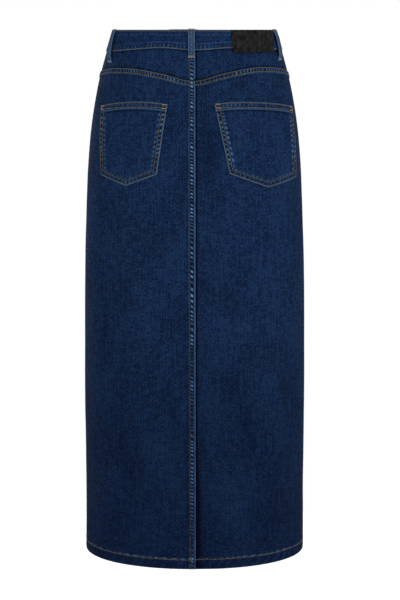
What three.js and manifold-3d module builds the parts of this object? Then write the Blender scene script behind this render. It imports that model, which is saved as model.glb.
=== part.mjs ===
// Long straight denim skirt in five-pocket style, in millimetres, +Z up.
// The skirt hangs in its worn, filled-out shape. The wearer faces -Y, so the back is at +Y and the
// wearer's left is at +X. The origin is the centre of the waist opening, level with the top edge.
// Each cut piece of cloth is one closed wall. Its corners come from a ring around the vertical axis,
// named by a direction angle (0 at the centre back, 90 at the wearer's left side, 180 at the centre
// front) and a height z, moved out or in along the cloth's normal.
import * as THREE from "three";
import { mergeVertices } from "three/addons/utils/BufferGeometryUtils.js";
import Module from "manifold-3d";

// Driving sizes of the garment
const SKIRT_LENGTH = 881;
const CLOTH = 1.2;
const SEAM_GAP = 0.3;
const HEM_DEPTH = 17.5;
const HEM_INSIDE = 2.2;
const FELL_WIDTH = 10.5;
const FELL_RAISE = 1.2;
const FELL_SLOPE = 1.5;
const YOKE_FELL_WIDTH = 8.5;
const CENTRE_BACK_ANGLE = -0.5;
const SIDE_SEAM_ANGLE = 93;
const CENTRE_FRONT_ANGLE = 180;
const WAIST_SEAM_LEVEL = -34;
const YOKE_SEAM_LEVEL = -72;
const BODY_LEVEL = -300;

// Rings that the cloth follows. half is half the width from side to side, back and front are the
// depths behind and before the vertical axis, and power is 2 for an ellipse and more for a squarer ring.
const RINGS = [
  { z: 30, half: 124.0, back: 96.0, front: 100.0, power: 2.15 },
  { z: 0, half: 134.6, back: 101.0, front: 105.0, power: 2.15 },
  { z: -35, half: 145.4, back: 107.0, front: 112.0, power: 2.15 },
  { z: -85, half: 158.8, back: 118.0, front: 119.0, power: 2.18 },
  { z: -150, half: 170.6, back: 132.5, front: 124.0, power: 2.22 },
  { z: -220, half: 177.4, back: 141.0, front: 127.0, power: 2.25 },
  { z: -300, half: 181.2, back: 143.5, front: 129.0, power: 2.25 },
  { z: -420, half: 184.7, back: 144.0, front: 132.0, power: 2.22 },
  { z: -560, half: 186.4, back: 144.0, front: 135.0, power: 2.18 },
  { z: -720, half: 186.4, back: 143.5, front: 138.0, power: 2.15 },
  { z: -SKIRT_LENGTH, half: 186.5, back: 143.0, front: 141.0, power: 2.12 },
  { z: -900, half: 186.5, back: 143.0, front: 141.0, power: 2.12 },
];

// Soft folds: each runs straight from one angle and height to another. width is the distance at which
// it has mostly faded, and depth is how far it stands out at each end, below zero for a trough.
const FOLD_MM_PER_DEGREE = 2.8;
const FOLDS = [
  { fromAngle: 50, fromZ: -300, toAngle: 46, toZ: -790, width: 19, fromDepth: -2.2, toDepth: -3.6 },
  { fromAngle: 36, fromZ: -420, toAngle: 31, toZ: -760, width: 24, fromDepth: 1.2, toDepth: 2.4 },
  { fromAngle: -3, fromZ: -412, toAngle: -41, toZ: -456, width: 17, fromDepth: -3.4, toDepth: -1.6 },
  { fromAngle: -8, fromZ: -472, toAngle: -34, toZ: -492, width: 18, fromDepth: 2.2, toDepth: 1.4 },
  { fromAngle: -4, fromZ: -521, toAngle: -34, toZ: -632, width: 18, fromDepth: -2.8, toDepth: -2.2 },
  { fromAngle: -38, fromZ: -668, toAngle: -41, toZ: -800, width: 19, fromDepth: -2.4, toDepth: -1.8 },
  { fromAngle: -13, fromZ: -610, toAngle: -25, toZ: -800, width: 22, fromDepth: 1.6, toDepth: 2.4 },
  { fromAngle: 5, fromZ: -452, toAngle: 28, toZ: -398, width: 16, fromDepth: -2.2, toDepth: -1.2 },
  { fromAngle: 5, fromZ: -370, toAngle: 27, toZ: -310, width: 15, fromDepth: -1.4, toDepth: -0.8 },
  { fromAngle: -9, fromZ: -160, toAngle: -12, toZ: -262, width: 16, fromDepth: -1.8, toDepth: -1.2 },
  { fromAngle: -8, fromZ: -740, toAngle: -6, toZ: -862, width: 17, fromDepth: -1.4, toDepth: -2.6 },
  { fromAngle: -68, fromZ: -470, toAngle: -62, toZ: -840, width: 26, fromDepth: -1.4, toDepth: -2.6 },
  { fromAngle: 76, fromZ: -420, toAngle: 72, toZ: -830, width: 26, fromDepth: -1.6, toDepth: -2.8 },
  { fromAngle: 128, fromZ: -330, toAngle: 131, toZ: -820, width: 22, fromDepth: -2.0, toDepth: -3.4 },
  { fromAngle: 147, fromZ: -420, toAngle: 150, toZ: -790, width: 24, fromDepth: 1.4, toDepth: 2.4 },
  { fromAngle: 174, fromZ: -300, toAngle: 148, toZ: -346, width: 16, fromDepth: -2.4, toDepth: -1.2 },
  { fromAngle: -174, fromZ: -352, toAngle: -144, toZ: -408, width: 17, fromDepth: -2.6, toDepth: -1.4 },
  { fromAngle: -171, fromZ: -560, toAngle: -140, toZ: -660, width: 19, fromDepth: -1.8, toDepth: -2.4 },
  { fromAngle: -134, fromZ: -420, toAngle: -128, toZ: -830, width: 23, fromDepth: -1.8, toDepth: -3.2 },
  { fromAngle: 172, fromZ: -720, toAngle: 175, toZ: -860, width: 18, fromDepth: -1.4, toDepth: -2.6 },
];

// Height of the waist seam and of the yoke seam around the skirt
const WAIST_SEAM = [
  { angle: -180, z: -34 },
  { angle: -93, z: -33 },
  { angle: -70, z: -31.5 },
  { angle: -32, z: -28.4 },
  { angle: 0, z: -32 },
  { angle: 30, z: -28.4 },
  { angle: 52, z: -31.5 },
  { angle: 70, z: -35 },
  { angle: 93, z: -36 },
  { angle: 180, z: -34 },
];
const YOKE_SEAM = [
  { angle: -93, z: -72 },
  { angle: -68, z: -61.5 },
  { angle: -50, z: -60 },
  { angle: -24, z: -69 },
  { angle: 0, z: -81 },
  { angle: 27, z: -69.2 },
  { angle: 48, z: -62.1 },
  { angle: 66, z: -62 },
  { angle: 93, z: -71 },
];

// Waistband, its overlap at the front, and the fly
const BAND_OUT = 1.3;
const BAND_IN = -1.5;
const BAND_LIFT = 3.6;
const BAND_UNDER_LAP = 34;
const FLY_OVERLAP = 5;
const FLY_BOTTOM = -200;
const FLY_LIFT = 1.9;
const FLY_LIFT_WIDTH = 14;
const FLY_LIFT_FOOT = 26;

// Belt loops: a strip that is tacked at both ends and stands clear of the waistband between them
const LOOP_WIDTH = 11.2;
const LOOP_THICK = 1.8;
const LOOPS = [
  {
    name: "belt_loop_centre_back",
    bottom: { angle: 2.4, z: -45 },
    top: { angle: 2.5, z: 1.4 },
    base: FELL_RAISE,
  },
  { name: "belt_loop_back_left", bottom: { angle: 70.2, z: -53.5 }, top: { angle: 74.8, z: 0.4 }, base: 0 },
  { name: "belt_loop_back_right", bottom: { angle: -72.3, z: -50 }, top: { angle: -75.2, z: 0.4 }, base: 0 },
  { name: "belt_loop_front_left", bottom: { angle: 138, z: -50 }, top: { angle: 137, z: 0.4 }, base: 0 },
  { name: "belt_loop_front_right", bottom: { angle: -138, z: -50 }, top: { angle: -137, z: 0.4 }, base: 0 },
];
// The loop's inner face from its bottom tack to its top fold: how far up the loop, and how far off the cloth
const LOOP_PATH = [
  { up: 0, off: 0.35 },
  { up: 0.055, off: 0.4 },
  { up: 0.11, off: 1.9 },
  { up: 0.16, off: 3.4 },
  { up: 0.26, off: 4.2 },
  { up: 0.41, off: 4.6 },
  { up: 0.6, off: 4.6 },
  { up: 0.75, off: 4.3 },
  { up: 0.85, off: 3.4 },
  { up: 0.905, off: 2.2 },
  { up: 0.94, off: 1.65 },
  { up: 1, off: 1.65 },
];

// Patch pockets, as the angle and height of each corner and of the point at the bottom
const POCKET_GAP = 0.35;
const POCKET_HEM = 12;
const POCKET_HEM_RAISE = 0.9;
const POCKETS = [
  {
    name: "back_pocket_left",
    innerTop: { angle: 19.0, z: -118.2 },
    outerTop: { angle: 67.9, z: -122.7 },
    innerFoot: { angle: 23.6, z: -229.1 },
    outerFoot: { angle: 60.6, z: -233.3 },
    pointShare: 0.52,
    pointDrop: 17.5,
    topArch: 6.0,
  },
  {
    name: "back_pocket_right",
    innerTop: { angle: -14.5, z: -117.1 },
    outerTop: { angle: -73.9, z: -124.4 },
    innerFoot: { angle: -22.4, z: -227.9 },
    outerFoot: { angle: -69.5, z: -238.3 },
    pointShare: 0.5,
    pointDrop: 18.5,
    topArch: 5.5,
  },
];

// Bare leather patch on the waistband
const PATCH = { fromAngle: -32, topAngle: -71.3, footAngle: -66.4, top: -0.9, foot: -36.6, thick: 1.5 };

// Shank button and its buttonhole
const BUTTON_RADIUS = 8.5;
const BUTTON_HEAD = 3.2;
const SHANK_RADIUS = 1.9;
const BUTTON_FROM_CENTRE = 10;
const BUTTON_Z = -17;
const HOLE_WIDTH = 4.6;
const HOLE_LENGTH = 17;
const HOLE_PAST_SHANK = 2.8;

// Closed zip behind the fly
const ZIP_CENTRE = 8;
const ZIP_TOP = -36;
const ZIP_FOOT = -188;
const ZIP_OUT = -1.5;
const ZIP_IN = -2.7;
const TAPE_HALF = 13;
const COIL_HALF = 2.4;
const COIL_RAISE = 1.2;
const SLIDER_HALF = 3.2;
const SLIDER_RAISE = 1.8;
const SLIDER_TOP = -44.5;
const SLIDER_FOOT = -57.5;

const denim = new THREE.MeshStandardMaterial({ color: 0x152a4b, roughness: 0.9, metalness: 0 });
const leather = new THREE.MeshStandardMaterial({ color: 0x222121, roughness: 0.6, metalness: 0 });
const metal = new THREE.MeshStandardMaterial({ color: 0x8a6a48, roughness: 0.35, metalness: 1 });
const tape = new THREE.MeshStandardMaterial({ color: 0x10182c, roughness: 0.85, metalness: 0 });

const degrees = (mm, radius) => THREE.MathUtils.radToDeg(mm / radius);
const lerp = THREE.MathUtils.lerp;

// Even steps from one value to another, without the first
function evenSteps(from, to, count) {
  return Array.from({ length: count }, (unused, n) => lerp(from, to, (n + 1) / count));
}

// The value of one column of a table at a key, along a smooth curve through the rows
function smoothAt(rows, keyName, valueName, key) {
  const sign = rows[1][keyName] > rows[0][keyName] ? 1 : -1;
  const last = rows.length - 1;
  let i = rows.findIndex((row, n) => n > 0 && sign * key <= sign * row[keyName]) - 1;
  if (i < 0) i = last - 1;
  const k = (n) => sign * rows[n][keyName];
  const v = (n) => rows[n][valueName];
  const chord = (n) => (v(n + 1) - v(n)) / (k(n + 1) - k(n));
  const slope = (n) => {
    if (n === 0) return chord(0);
    if (n === last) return chord(last - 1);
    const before = k(n) - k(n - 1);
    const after = k(n + 1) - k(n);
    return (chord(n - 1) * after + chord(n) * before) / (before + after);
  };
  const span = k(i + 1) - k(i);
  const t = (sign * key - k(i)) / span;
  const t2 = t * t;
  const t3 = t2 * t;
  return (
    (2 * t3 - 3 * t2 + 1) * v(i) +
    (t3 - 2 * t2 + t) * span * slope(i) +
    (3 * t2 - 2 * t3) * v(i + 1) +
    (t3 - t2) * span * slope(i + 1)
  );
}

// An angle brought into -180 to 180
const wrap = (angle) => ((((angle + 180) % 360) + 360) % 360) - 180;
const ringAt = (name, z) => smoothAt(RINGS, "z", name, z);
const waistSeam = (angle) => smoothAt(WAIST_SEAM, "angle", "z", wrap(angle));
const yokeSeam = (angle) => smoothAt(YOKE_SEAM, "angle", "z", wrap(angle));

function ringPoint(angle, z) {
  const turn = THREE.MathUtils.degToRad(angle);
  const side = Math.sin(turn);
  const along = Math.cos(turn);
  const depth = ringAt(along >= 0 ? "back" : "front", z);
  const power = ringAt("power", z);
  const sum = Math.abs(along / depth) ** power + Math.abs(side / ringAt("half", z)) ** power;
  const radius = sum ** (-1 / power);
  return new THREE.Vector3(radius * side, radius * along, z);
}

function clothNormal(angle, z) {
  const across = ringPoint(angle + 0.5, z).sub(ringPoint(angle - 0.5, z));
  const up = ringPoint(angle, z + 2).sub(ringPoint(angle, z - 2));
  return across.cross(up).normalize().negate();
}

// How far the folds move the cloth out at a place
function foldAt(angle, z) {
  let sum = 0;
  for (const fold of FOLDS) {
    const runX = (fold.toAngle - fold.fromAngle) * FOLD_MM_PER_DEGREE;
    const runZ = fold.toZ - fold.fromZ;
    const x = wrap(angle - fold.fromAngle) * FOLD_MM_PER_DEGREE;
    const y = z - fold.fromZ;
    const along = (x * runX + y * runZ) / (runX ** 2 + runZ ** 2);
    const share = THREE.MathUtils.clamp(along, 0, 1);
    const away = Math.hypot(x - share * runX, y - share * runZ);
    sum += lerp(fold.fromDepth, fold.toDepth, share) * Math.exp(-((away / fold.width) ** 2));
  }
  return sum;
}

// A point of the cloth, moved out along its normal
function clothPoint(angle, z, out) {
  return ringPoint(angle, z).addScaledVector(clothNormal(angle, z), out + foldAt(angle, z));
}

// A closed wall over a grid. corner(row, column, outside) gives each corner of its two faces
function wallGeometry(rows, columns, corner) {
  const positions = [];
  const index = [];
  for (const outside of [true, false])
    for (let row = 0; row <= rows; row++)
      for (let column = 0; column <= columns; column++)
        positions.push(...corner(row, column, outside).toArray());
  const face = (rows + 1) * (columns + 1);
  const at = (row, column, inside) => inside * face + row * (columns + 1) + column;
  const quad = (a, b, c, d) => index.push(a, c, b, a, d, c);
  for (let row = 0; row < rows; row++)
    for (let column = 0; column < columns; column++)
      for (const inside of [0, 1]) {
        const corners = [
          at(row, column, inside),
          at(row + 1, column, inside),
          at(row + 1, column + 1, inside),
          at(row, column + 1, inside),
        ];
        if (inside) corners.reverse();
        quad(...corners);
      }
  for (let column = 0; column < columns; column++) {
    quad(at(0, column, 0), at(0, column + 1, 0), at(0, column + 1, 1), at(0, column, 1));
    quad(at(rows, column, 1), at(rows, column + 1, 1), at(rows, column + 1, 0), at(rows, column, 0));
  }
  for (let row = 0; row < rows; row++) {
    quad(at(row, 0, 1), at(row + 1, 0, 1), at(row + 1, 0, 0), at(row, 0, 0));
    quad(at(row, columns, 0), at(row + 1, columns, 0), at(row + 1, columns, 1), at(row, columns, 1));
  }
  const geometry = new THREE.BufferGeometry();
  geometry.setAttribute("position", new THREE.Float32BufferAttribute(positions, 3));
  geometry.setIndex(index);
  return geometry;
}

// The wall with its faces turned out, whichever way round the skirt its columns run
function turnedOut(geometry, columnsRunLeft) {
  if (columnsRunLeft) return geometry;
  const index = geometry.getIndex().array;
  for (let i = 0; i < index.length; i += 3) [index[i + 1], index[i + 2]] = [index[i + 2], index[i + 1]];
  return geometry;
}

const skirt = new THREE.Group();
function add(name, geometry, material) {
  const mesh = new THREE.Mesh(geometry, material);
  mesh.name = name;
  skirt.add(mesh);
  return mesh;
}

// Angles of a piece's columns at a height, from its centre seam to its side seam. direction is 1 on the
// wearer's left and -1 on the right, and stations are distances from the seam that a column must keep.
function columnAngles(centre, side, direction, radius, stations, evenColumns) {
  const fixed = stations.map((mm) => centre + direction * degrees(mm, radius));
  return [...fixed, ...evenSteps(fixed[fixed.length - 1], side, evenColumns)];
}

const EVEN_COLUMNS = 14;
const BACK_STATIONS = [SEAM_GAP / 2, FELL_WIDTH, FELL_WIDTH + FELL_SLOPE];
const SIDE_GAP_ANGLE = degrees(SEAM_GAP / 2, ringAt("half", BODY_LEVEL));

function backAngles(direction, z) {
  const side = direction * (SIDE_SEAM_ANGLE - SIDE_GAP_ANGLE);
  return columnAngles(CENTRE_BACK_ANGLE, side, direction, ringAt("back", z), BACK_STATIONS, EVEN_COLUMNS);
}

// Outer face of a back piece: the felled seam lies on the wearer's left piece alone
const centreFell = (direction, column) => (direction > 0 && column <= 1 ? FELL_RAISE : 0);

function backYoke(direction) {
  const rows = 3;
  const columns = backAngles(direction, YOKE_SEAM_LEVEL).length - 1;
  const corner = (row, column, outside) => {
    const level = lerp(WAIST_SEAM_LEVEL, YOKE_SEAM_LEVEL, row / rows);
    const angle = backAngles(direction, level)[column];
    const top = waistSeam(angle) - SEAM_GAP / 2;
    const foot = yokeSeam(angle) + SEAM_GAP / 2;
    const z = lerp(top, foot, row / rows);
    return clothPoint(angle, z, outside ? centreFell(direction, column) : -CLOTH);
  };
  return turnedOut(wallGeometry(rows, columns, corner), direction > 0);
}

// Heights of a back panel's rows: the felled top edge, the body, and the folded hem
const BACK_ROWS = 25;
const HEM_TOP = HEM_DEPTH - SKIRT_LENGTH;
function backRows(top) {
  const fellFoot = top - YOKE_FELL_WIDTH;
  const start = fellFoot - FELL_SLOPE;
  const body = evenSteps(start, HEM_TOP + FELL_SLOPE, BACK_ROWS);
  return [top, fellFoot, start, ...body, HEM_TOP, -SKIRT_LENGTH];
}

// Inner face of a long panel: the hem's turned-up layers lie inside its lowest two rows
const hemInside = (row, rows) => (row >= rows - 1 ? -CLOTH - HEM_INSIDE : -CLOTH);

function backPanel(direction) {
  const levels = backRows(YOKE_SEAM_LEVEL);
  const rows = levels.length - 1;
  const columns = backAngles(direction, BODY_LEVEL).length - 1;
  const corner = (row, column, outside) => {
    const angle = backAngles(direction, levels[row])[column];
    const z = backRows(yokeSeam(angle) - SEAM_GAP / 2)[row];
    const raise = Math.max(centreFell(direction, column), row <= 1 ? FELL_RAISE : 0);
    return clothPoint(angle, z, outside ? raise : hemInside(row, rows));
  };
  return turnedOut(wallGeometry(rows, columns, corner), direction > 0);
}

// The front pieces meet at the centre front. Above the fly's foot the left one laps over the right.
const FRONT_STATIONS = [SEAM_GAP / 2, FELL_WIDTH, FLY_LIFT_WIDTH, FLY_LIFT_FOOT];
const FLY_ROWS = [-44, -58, -80, -105, -130, -158, ZIP_FOOT];
const FLY_LAP_FOOT = FLY_BOTTOM - 10;
const FLY_LIFT_FOOT_Z = FLY_BOTTOM - 24;
const FRONT_ROWS = 19;

// How much of the fly's lap is left at a height, and how much of its lift
const shareAbove = (z, foot, top) => THREE.MathUtils.clamp((z - foot) / (top - foot), 0, 1);
const flyLap = (z) => shareAbove(z, FLY_LAP_FOOT, FLY_BOTTOM);
const flyLift = (z) => shareAbove(z, FLY_LIFT_FOOT_Z, FLY_LAP_FOOT);

function frontRows(top) {
  const body = evenSteps(FLY_LIFT_FOOT_Z, HEM_TOP + FELL_SLOPE, FRONT_ROWS);
  return [top, ...FLY_ROWS, FLY_BOTTOM, FLY_LAP_FOOT, FLY_LIFT_FOOT_Z, ...body, HEM_TOP, -SKIRT_LENGTH];
}

function frontAngles(direction, z) {
  const centre = direction * CENTRE_FRONT_ANGLE;
  const side = direction * (SIDE_SEAM_ANGLE + SIDE_GAP_ANGLE);
  const radius = ringAt("front", z);
  const angles = columnAngles(centre, side, -direction, radius, FRONT_STATIONS, EVEN_COLUMNS - 1);
  if (direction > 0) angles[0] += flyLap(z) * degrees(FLY_OVERLAP, radius);
  return angles;
}

function frontPanel(direction) {
  const levels = frontRows(WAIST_SEAM_LEVEL);
  const rows = levels.length - 1;
  const columns = frontAngles(direction, BODY_LEVEL).length - 1;
  const corner = (row, column, outside) => {
    const angle = frontAngles(direction, levels[row])[column];
    const z = frontRows(waistSeam(angle) - SEAM_GAP / 2)[row];
    const onLeft = direction > 0;
    const lift = onLeft && column <= 2 ? FLY_LIFT * flyLift(z) : 0;
    const fell = onLeft && column <= 1 ? FELL_RAISE * (1 - flyLift(z)) : 0;
    return clothPoint(angle, z, lift + (outside ? fell : hemInside(row, rows)));
  };
  return turnedOut(wallGeometry(rows, columns, corner), direction < 0);
}

// One strip of waistband, from its covered end on the wearer's right, round the back, to its top end
function waistband() {
  const radius = ringAt("front", WAIST_SEAM_LEVEL);
  const rightFront = frontAngles(-1, WAIST_SEAM_LEVEL);
  const leftFront = frontAngles(1, WAIST_SEAM_LEVEL);
  const underEnd = -CENTRE_FRONT_ANGLE - degrees(BAND_UNDER_LAP, radius);
  const overEnd = CENTRE_FRONT_ANGLE + degrees(FLY_OVERLAP, radius);
  const angles = [
    underEnd,
    lerp(underEnd, -CENTRE_FRONT_ANGLE, 1 / 3),
    lerp(underEnd, -CENTRE_FRONT_ANGLE, 2 / 3),
    ...rightFront,
    ...backAngles(-1, WAIST_SEAM_LEVEL).reverse(),
    ...backAngles(1, WAIST_SEAM_LEVEL),
    ...leftFront.reverse().slice(0, -1),
    overEnd,
  ].filter((angle, n, all) => n === 0 || Math.abs(angle - all[n - 1]) > 0.4);
  // The top end climbs over the covered one between these two angles
  const liftFrom = CENTRE_FRONT_ANGLE - degrees(BAND_UNDER_LAP + 14, radius);
  const liftTo = CENTRE_FRONT_ANGLE - degrees(BAND_UNDER_LAP + 3, radius);
  const all = [...angles.filter((angle) => angle < liftFrom - 1), liftFrom, liftTo];
  all.push(...angles.filter((angle) => angle > liftTo + 1));
  const rows = 2;
  const corner = (row, column, outside) => {
    const angle = all[column];
    const lift = THREE.MathUtils.clamp((angle - liftFrom) / (liftTo - liftFrom), 0, 1) * BAND_LIFT;
    const z = lerp(0, waistSeam(angle) + SEAM_GAP / 2, row / rows);
    return clothPoint(angle, z, lift + (outside ? BAND_OUT : BAND_IN));
  };
  return wallGeometry(rows, all.length - 1, corner);
}

function beltLoop({ bottom, top, base }) {
  const rows = LOOP_PATH.length - 1;
  const columns = 2;
  const corner = (row, column, outside) => {
    const { up, off } = LOOP_PATH[rows - row];
    const z = lerp(bottom.z, top.z, up);
    const middle = lerp(bottom.angle, top.angle, up);
    const radius = ringPoint(middle, z).length();
    const angle = middle + degrees(lerp(-LOOP_WIDTH / 2, LOOP_WIDTH / 2, column / columns), radius);
    const lowest = Math.max(off, z < waistSeam(angle) - 2 ? base + LOOP_PATH[0].off : off);
    return clothPoint(angle, z, lowest + (outside ? LOOP_THICK : 0));
  };
  return wallGeometry(rows, columns, corner);
}

function pocket({ innerTop, outerTop, innerFoot, outerFoot, pointShare, pointDrop, topArch }) {
  const columns = 12;
  const rows = 11;
  const hemRow = 1;
  const corner = (row, column, outside) => {
    const evenShare = column / columns;
    const share = evenShare < 0.5 ? evenShare * 2 * pointShare : lerp(pointShare, 1, evenShare * 2 - 1);
    const arch = topArch * 4 * share * (1 - share);
    const point = share < pointShare ? share / pointShare : (1 - share) / (1 - pointShare);
    const top = lerp(innerTop.z, outerTop.z, share) + arch;
    const foot = lerp(innerFoot.z, outerFoot.z, share) - pointDrop * point;
    const hemShare = POCKET_HEM / (top - foot);
    const down = row <= hemRow ? (row / hemRow) * hemShare : lerp(hemShare + 0.01, 1, (row - 2) / (rows - 2));
    const z = lerp(top, foot, down);
    const inner = lerp(innerTop.angle, innerFoot.angle, down);
    const outer = lerp(outerTop.angle, outerFoot.angle, down);
    const raise = row <= hemRow ? POCKET_HEM_RAISE : 0;
    return clothPoint(lerp(inner, outer, share), z, POCKET_GAP + (outside ? CLOTH + raise : 0));
  };
  return turnedOut(wallGeometry(rows, columns, corner), outerTop.angle > 0);
}

function waistPatch() {
  const rows = 3;
  const columns = 10;
  const corner = (row, column, outside) => {
    const down = row / rows;
    const across = column / columns;
    const far = lerp(PATCH.topAngle, PATCH.footAngle, down);
    const z = lerp(PATCH.top, PATCH.foot, down);
    const out = BAND_OUT + SEAM_GAP + (outside ? PATCH.thick : 0);
    return clothPoint(lerp(PATCH.fromAngle, far, across), z, out);
  };
  return turnedOut(wallGeometry(rows, columns, corner), false);
}

// Zip tape with its closed coil, and the slider that stays at the top, under the fly
function flyZip() {
  const half = [COIL_HALF, SLIDER_HALF, SLIDER_HALF + 0.8, TAPE_HALF];
  const stations = [...half.map((distance) => -distance).reverse(), ...half];
  const heights = [ZIP_TOP, SLIDER_TOP + 0.5, SLIDER_TOP, SLIDER_FOOT, ...FLY_ROWS.slice(1)];
  const corner = (row, column, outside) => {
    const z = heights[row];
    const distance = ZIP_CENTRE + stations[column];
    const angle = CENTRE_FRONT_ANGLE - degrees(distance, ringAt("front", z));
    const onCoil = column === 3 || column === 4;
    const onSlider = (row === 2 || row === 3) && column >= 2 && column <= 5;
    const out = ZIP_OUT + (onSlider ? SLIDER_RAISE : onCoil ? COIL_RAISE : 0);
    return clothPoint(angle, z, outside ? out : ZIP_IN);
  };
  return turnedOut(wallGeometry(heights.length - 1, stations.length - 1, corner), false);
}

// A place on the waistband at a distance to the wearer's left of the centre front, with y pointing out
// of the cloth and x running round to the wearer's right
function bandFrame(distance) {
  const angle = CENTRE_FRONT_ANGLE - degrees(distance, ringAt("front", BUTTON_Z));
  const out = clothNormal(angle, BUTTON_Z);
  const round = new THREE.Vector3(0, 0, -1).cross(out).normalize();
  const basis = new THREE.Matrix4().makeBasis(round, out, new THREE.Vector3().crossVectors(round, out));
  return basis.setPosition(clothPoint(angle, BUTTON_Z, 0));
}

function shankButton() {
  const foot = BAND_OUT + SEAM_GAP;
  const head = BAND_LIFT + BAND_OUT + SEAM_GAP;
  const profile = [
    [0, foot],
    [SHANK_RADIUS, foot],
    [SHANK_RADIUS, head],
    [BUTTON_RADIUS - 1.2, head],
    [BUTTON_RADIUS, head + 0.9],
    [BUTTON_RADIUS, head + 2.0],
    [BUTTON_RADIUS - 0.9, head + BUTTON_HEAD],
    [BUTTON_RADIUS - 2.2, head + BUTTON_HEAD],
    [BUTTON_RADIUS - 3.0, head + BUTTON_HEAD - 0.9],
    [1.6, head + BUTTON_HEAD - 0.7],
    [0, head + BUTTON_HEAD - 0.6],
  ].map(([radius, height]) => new THREE.Vector2(radius, height));
  return new THREE.LatheGeometry(profile, 28);
}

const library = await Module();
library.setup();

// A closed geometry as a solid that can be cut, and back
function solidOf(geometry) {
  const bare = new THREE.BufferGeometry();
  bare.setAttribute("position", geometry.getAttribute("position"));
  bare.setIndex(geometry.getIndex());
  const merged = mergeVertices(bare);
  return new library.Manifold(
    new library.Mesh({
      numProp: 3,
      vertProperties: merged.getAttribute("position").array,
      triVerts: new Uint32Array(merged.getIndex().array),
    }),
  );
}

function geometryOf(solid) {
  const mesh = solid.getMesh();
  const geometry = new THREE.BufferGeometry();
  geometry.setAttribute("position", new THREE.Float32BufferAttribute(mesh.vertProperties, 3));
  geometry.setIndex(new THREE.Uint32BufferAttribute(mesh.triVerts, 1));
  return geometry;
}

// An eight-sided slot that goes through the waistband's top layer and stops above the covered one
function buttonhole() {
  const half = HOLE_LENGTH / 2;
  const round = HOLE_WIDTH / 2;
  const bevel = round * 0.5;
  const corners = [
    [-half, -bevel],
    [-half + bevel, -round],
    [half - bevel, -round],
    [half, -bevel],
    [half, bevel],
    [half - bevel, round],
    [-half + bevel, round],
    [-half, bevel],
  ];
  const outline = new THREE.Shape(corners.map(([x, y]) => new THREE.Vector2(x, y)));
  const slot = new THREE.ExtrudeGeometry(outline, { depth: CLOTH * 4, bevelEnabled: false });
  slot.rotateX(-Math.PI / 2);
  slot.translate(0, (BAND_OUT + BAND_IN + BAND_LIFT) / 2, 0);
  return slot.applyMatrix4(bandFrame(BUTTON_FROM_CENTRE - HOLE_PAST_SHANK + half));
}

for (const direction of [1, -1]) {
  const side = direction > 0 ? "left" : "right";
  add("back_yoke_" + side, backYoke(direction), denim);
  add("back_panel_" + side, backPanel(direction), denim);
  add("front_panel_" + side, frontPanel(direction), denim);
}
for (const loop of LOOPS) add(loop.name, beltLoop(loop), denim);
for (const patch of POCKETS) add(patch.name, pocket(patch), denim);
add("waist_patch", waistPatch(), leather);
add("fly_zip", flyZip(), tape);
add("waist_button", shankButton(), metal).applyMatrix4(bandFrame(BUTTON_FROM_CENTRE));
add("waistband", geometryOf(solidOf(waistband()).subtract(solidOf(buttonhole()))), denim);

export default skirt;
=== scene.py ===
# %% [markdown]
# # A long denim skirt, seen from behind
# The real skirt is sewn from one dark stretch denim: two front panels, two back panels, a shaped back
# yoke, a straight waistband, two patch pockets and five belt loops, with a bare leather patch, a fly
# zip and a button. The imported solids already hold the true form, so this lesson only makes the looks:
# a fine cloth shell over each solid, then the thread, the leather and the metal.

import bpy
import numpy as np
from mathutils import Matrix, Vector


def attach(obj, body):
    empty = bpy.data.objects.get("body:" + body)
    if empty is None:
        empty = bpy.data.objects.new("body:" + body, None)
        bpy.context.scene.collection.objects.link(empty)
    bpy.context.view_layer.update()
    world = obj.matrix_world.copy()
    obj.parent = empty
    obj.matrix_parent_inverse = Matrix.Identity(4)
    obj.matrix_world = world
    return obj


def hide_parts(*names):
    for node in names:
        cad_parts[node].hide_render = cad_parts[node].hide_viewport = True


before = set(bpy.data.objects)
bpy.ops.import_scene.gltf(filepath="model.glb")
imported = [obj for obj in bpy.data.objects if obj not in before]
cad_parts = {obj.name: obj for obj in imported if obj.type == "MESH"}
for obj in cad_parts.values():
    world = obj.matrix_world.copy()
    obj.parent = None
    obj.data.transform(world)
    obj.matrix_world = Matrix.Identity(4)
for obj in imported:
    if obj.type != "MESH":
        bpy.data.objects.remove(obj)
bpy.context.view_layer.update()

MM = 0.001

# %% [markdown]
# ## The camera
# The photograph looks at the back from about three metres away, from the height of the waist and
# tilted down a little: the top edge shows as a straight line and the hem as a curve. A long lens at that
# distance gives the same curve. The skirt hangs a little left of the picture's middle, so the camera
# steps sideways instead of turning.

# %% Camera
PICTURE_HEIGHT_PX = 600
FOCAL_LENGTH_PX = 1791
SENSOR_MM = 36.0
CAMERA_DISTANCE = 3.0
AIM_HEIGHT = -0.4527
SIDE_STEP = -0.0092


def add_object(name, data):
    """A new object in the scene that shows a mesh, a light or a camera."""
    made = bpy.data.objects.new(name, data)
    bpy.context.scene.collection.objects.link(made)
    return made


camera_data = bpy.data.cameras.new("photo_camera")
camera_data.sensor_width = SENSOR_MM
camera_data.lens = SENSOR_MM * FOCAL_LENGTH_PX / PICTURE_HEIGHT_PX
camera = add_object("photo_camera", camera_data)
camera.location = (SIDE_STEP, CAMERA_DISTANCE, 0.0)
aim = Vector((SIDE_STEP, 0.0, AIM_HEIGHT)) - camera.location
camera.rotation_euler = aim.to_track_quat("-Z", "Y").to_euler()
bpy.context.scene.camera = camera
print("lens:", round(camera_data.lens, 1), "mm")

# %% [markdown]
# ## The form under the cloth
# Every piece of cloth lies on the same form: a stack of rings round the vertical axis. A ring is a
# superellipse, which is an ellipse whose power can be raised to make it squarer. The table gives a few
# rings in millimetres, and a smooth curve through its rows gives all the others. A place on the form is
# then an angle round the axis, with 0 at the centre back and 90 at the wearer's left, and a height.

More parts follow.
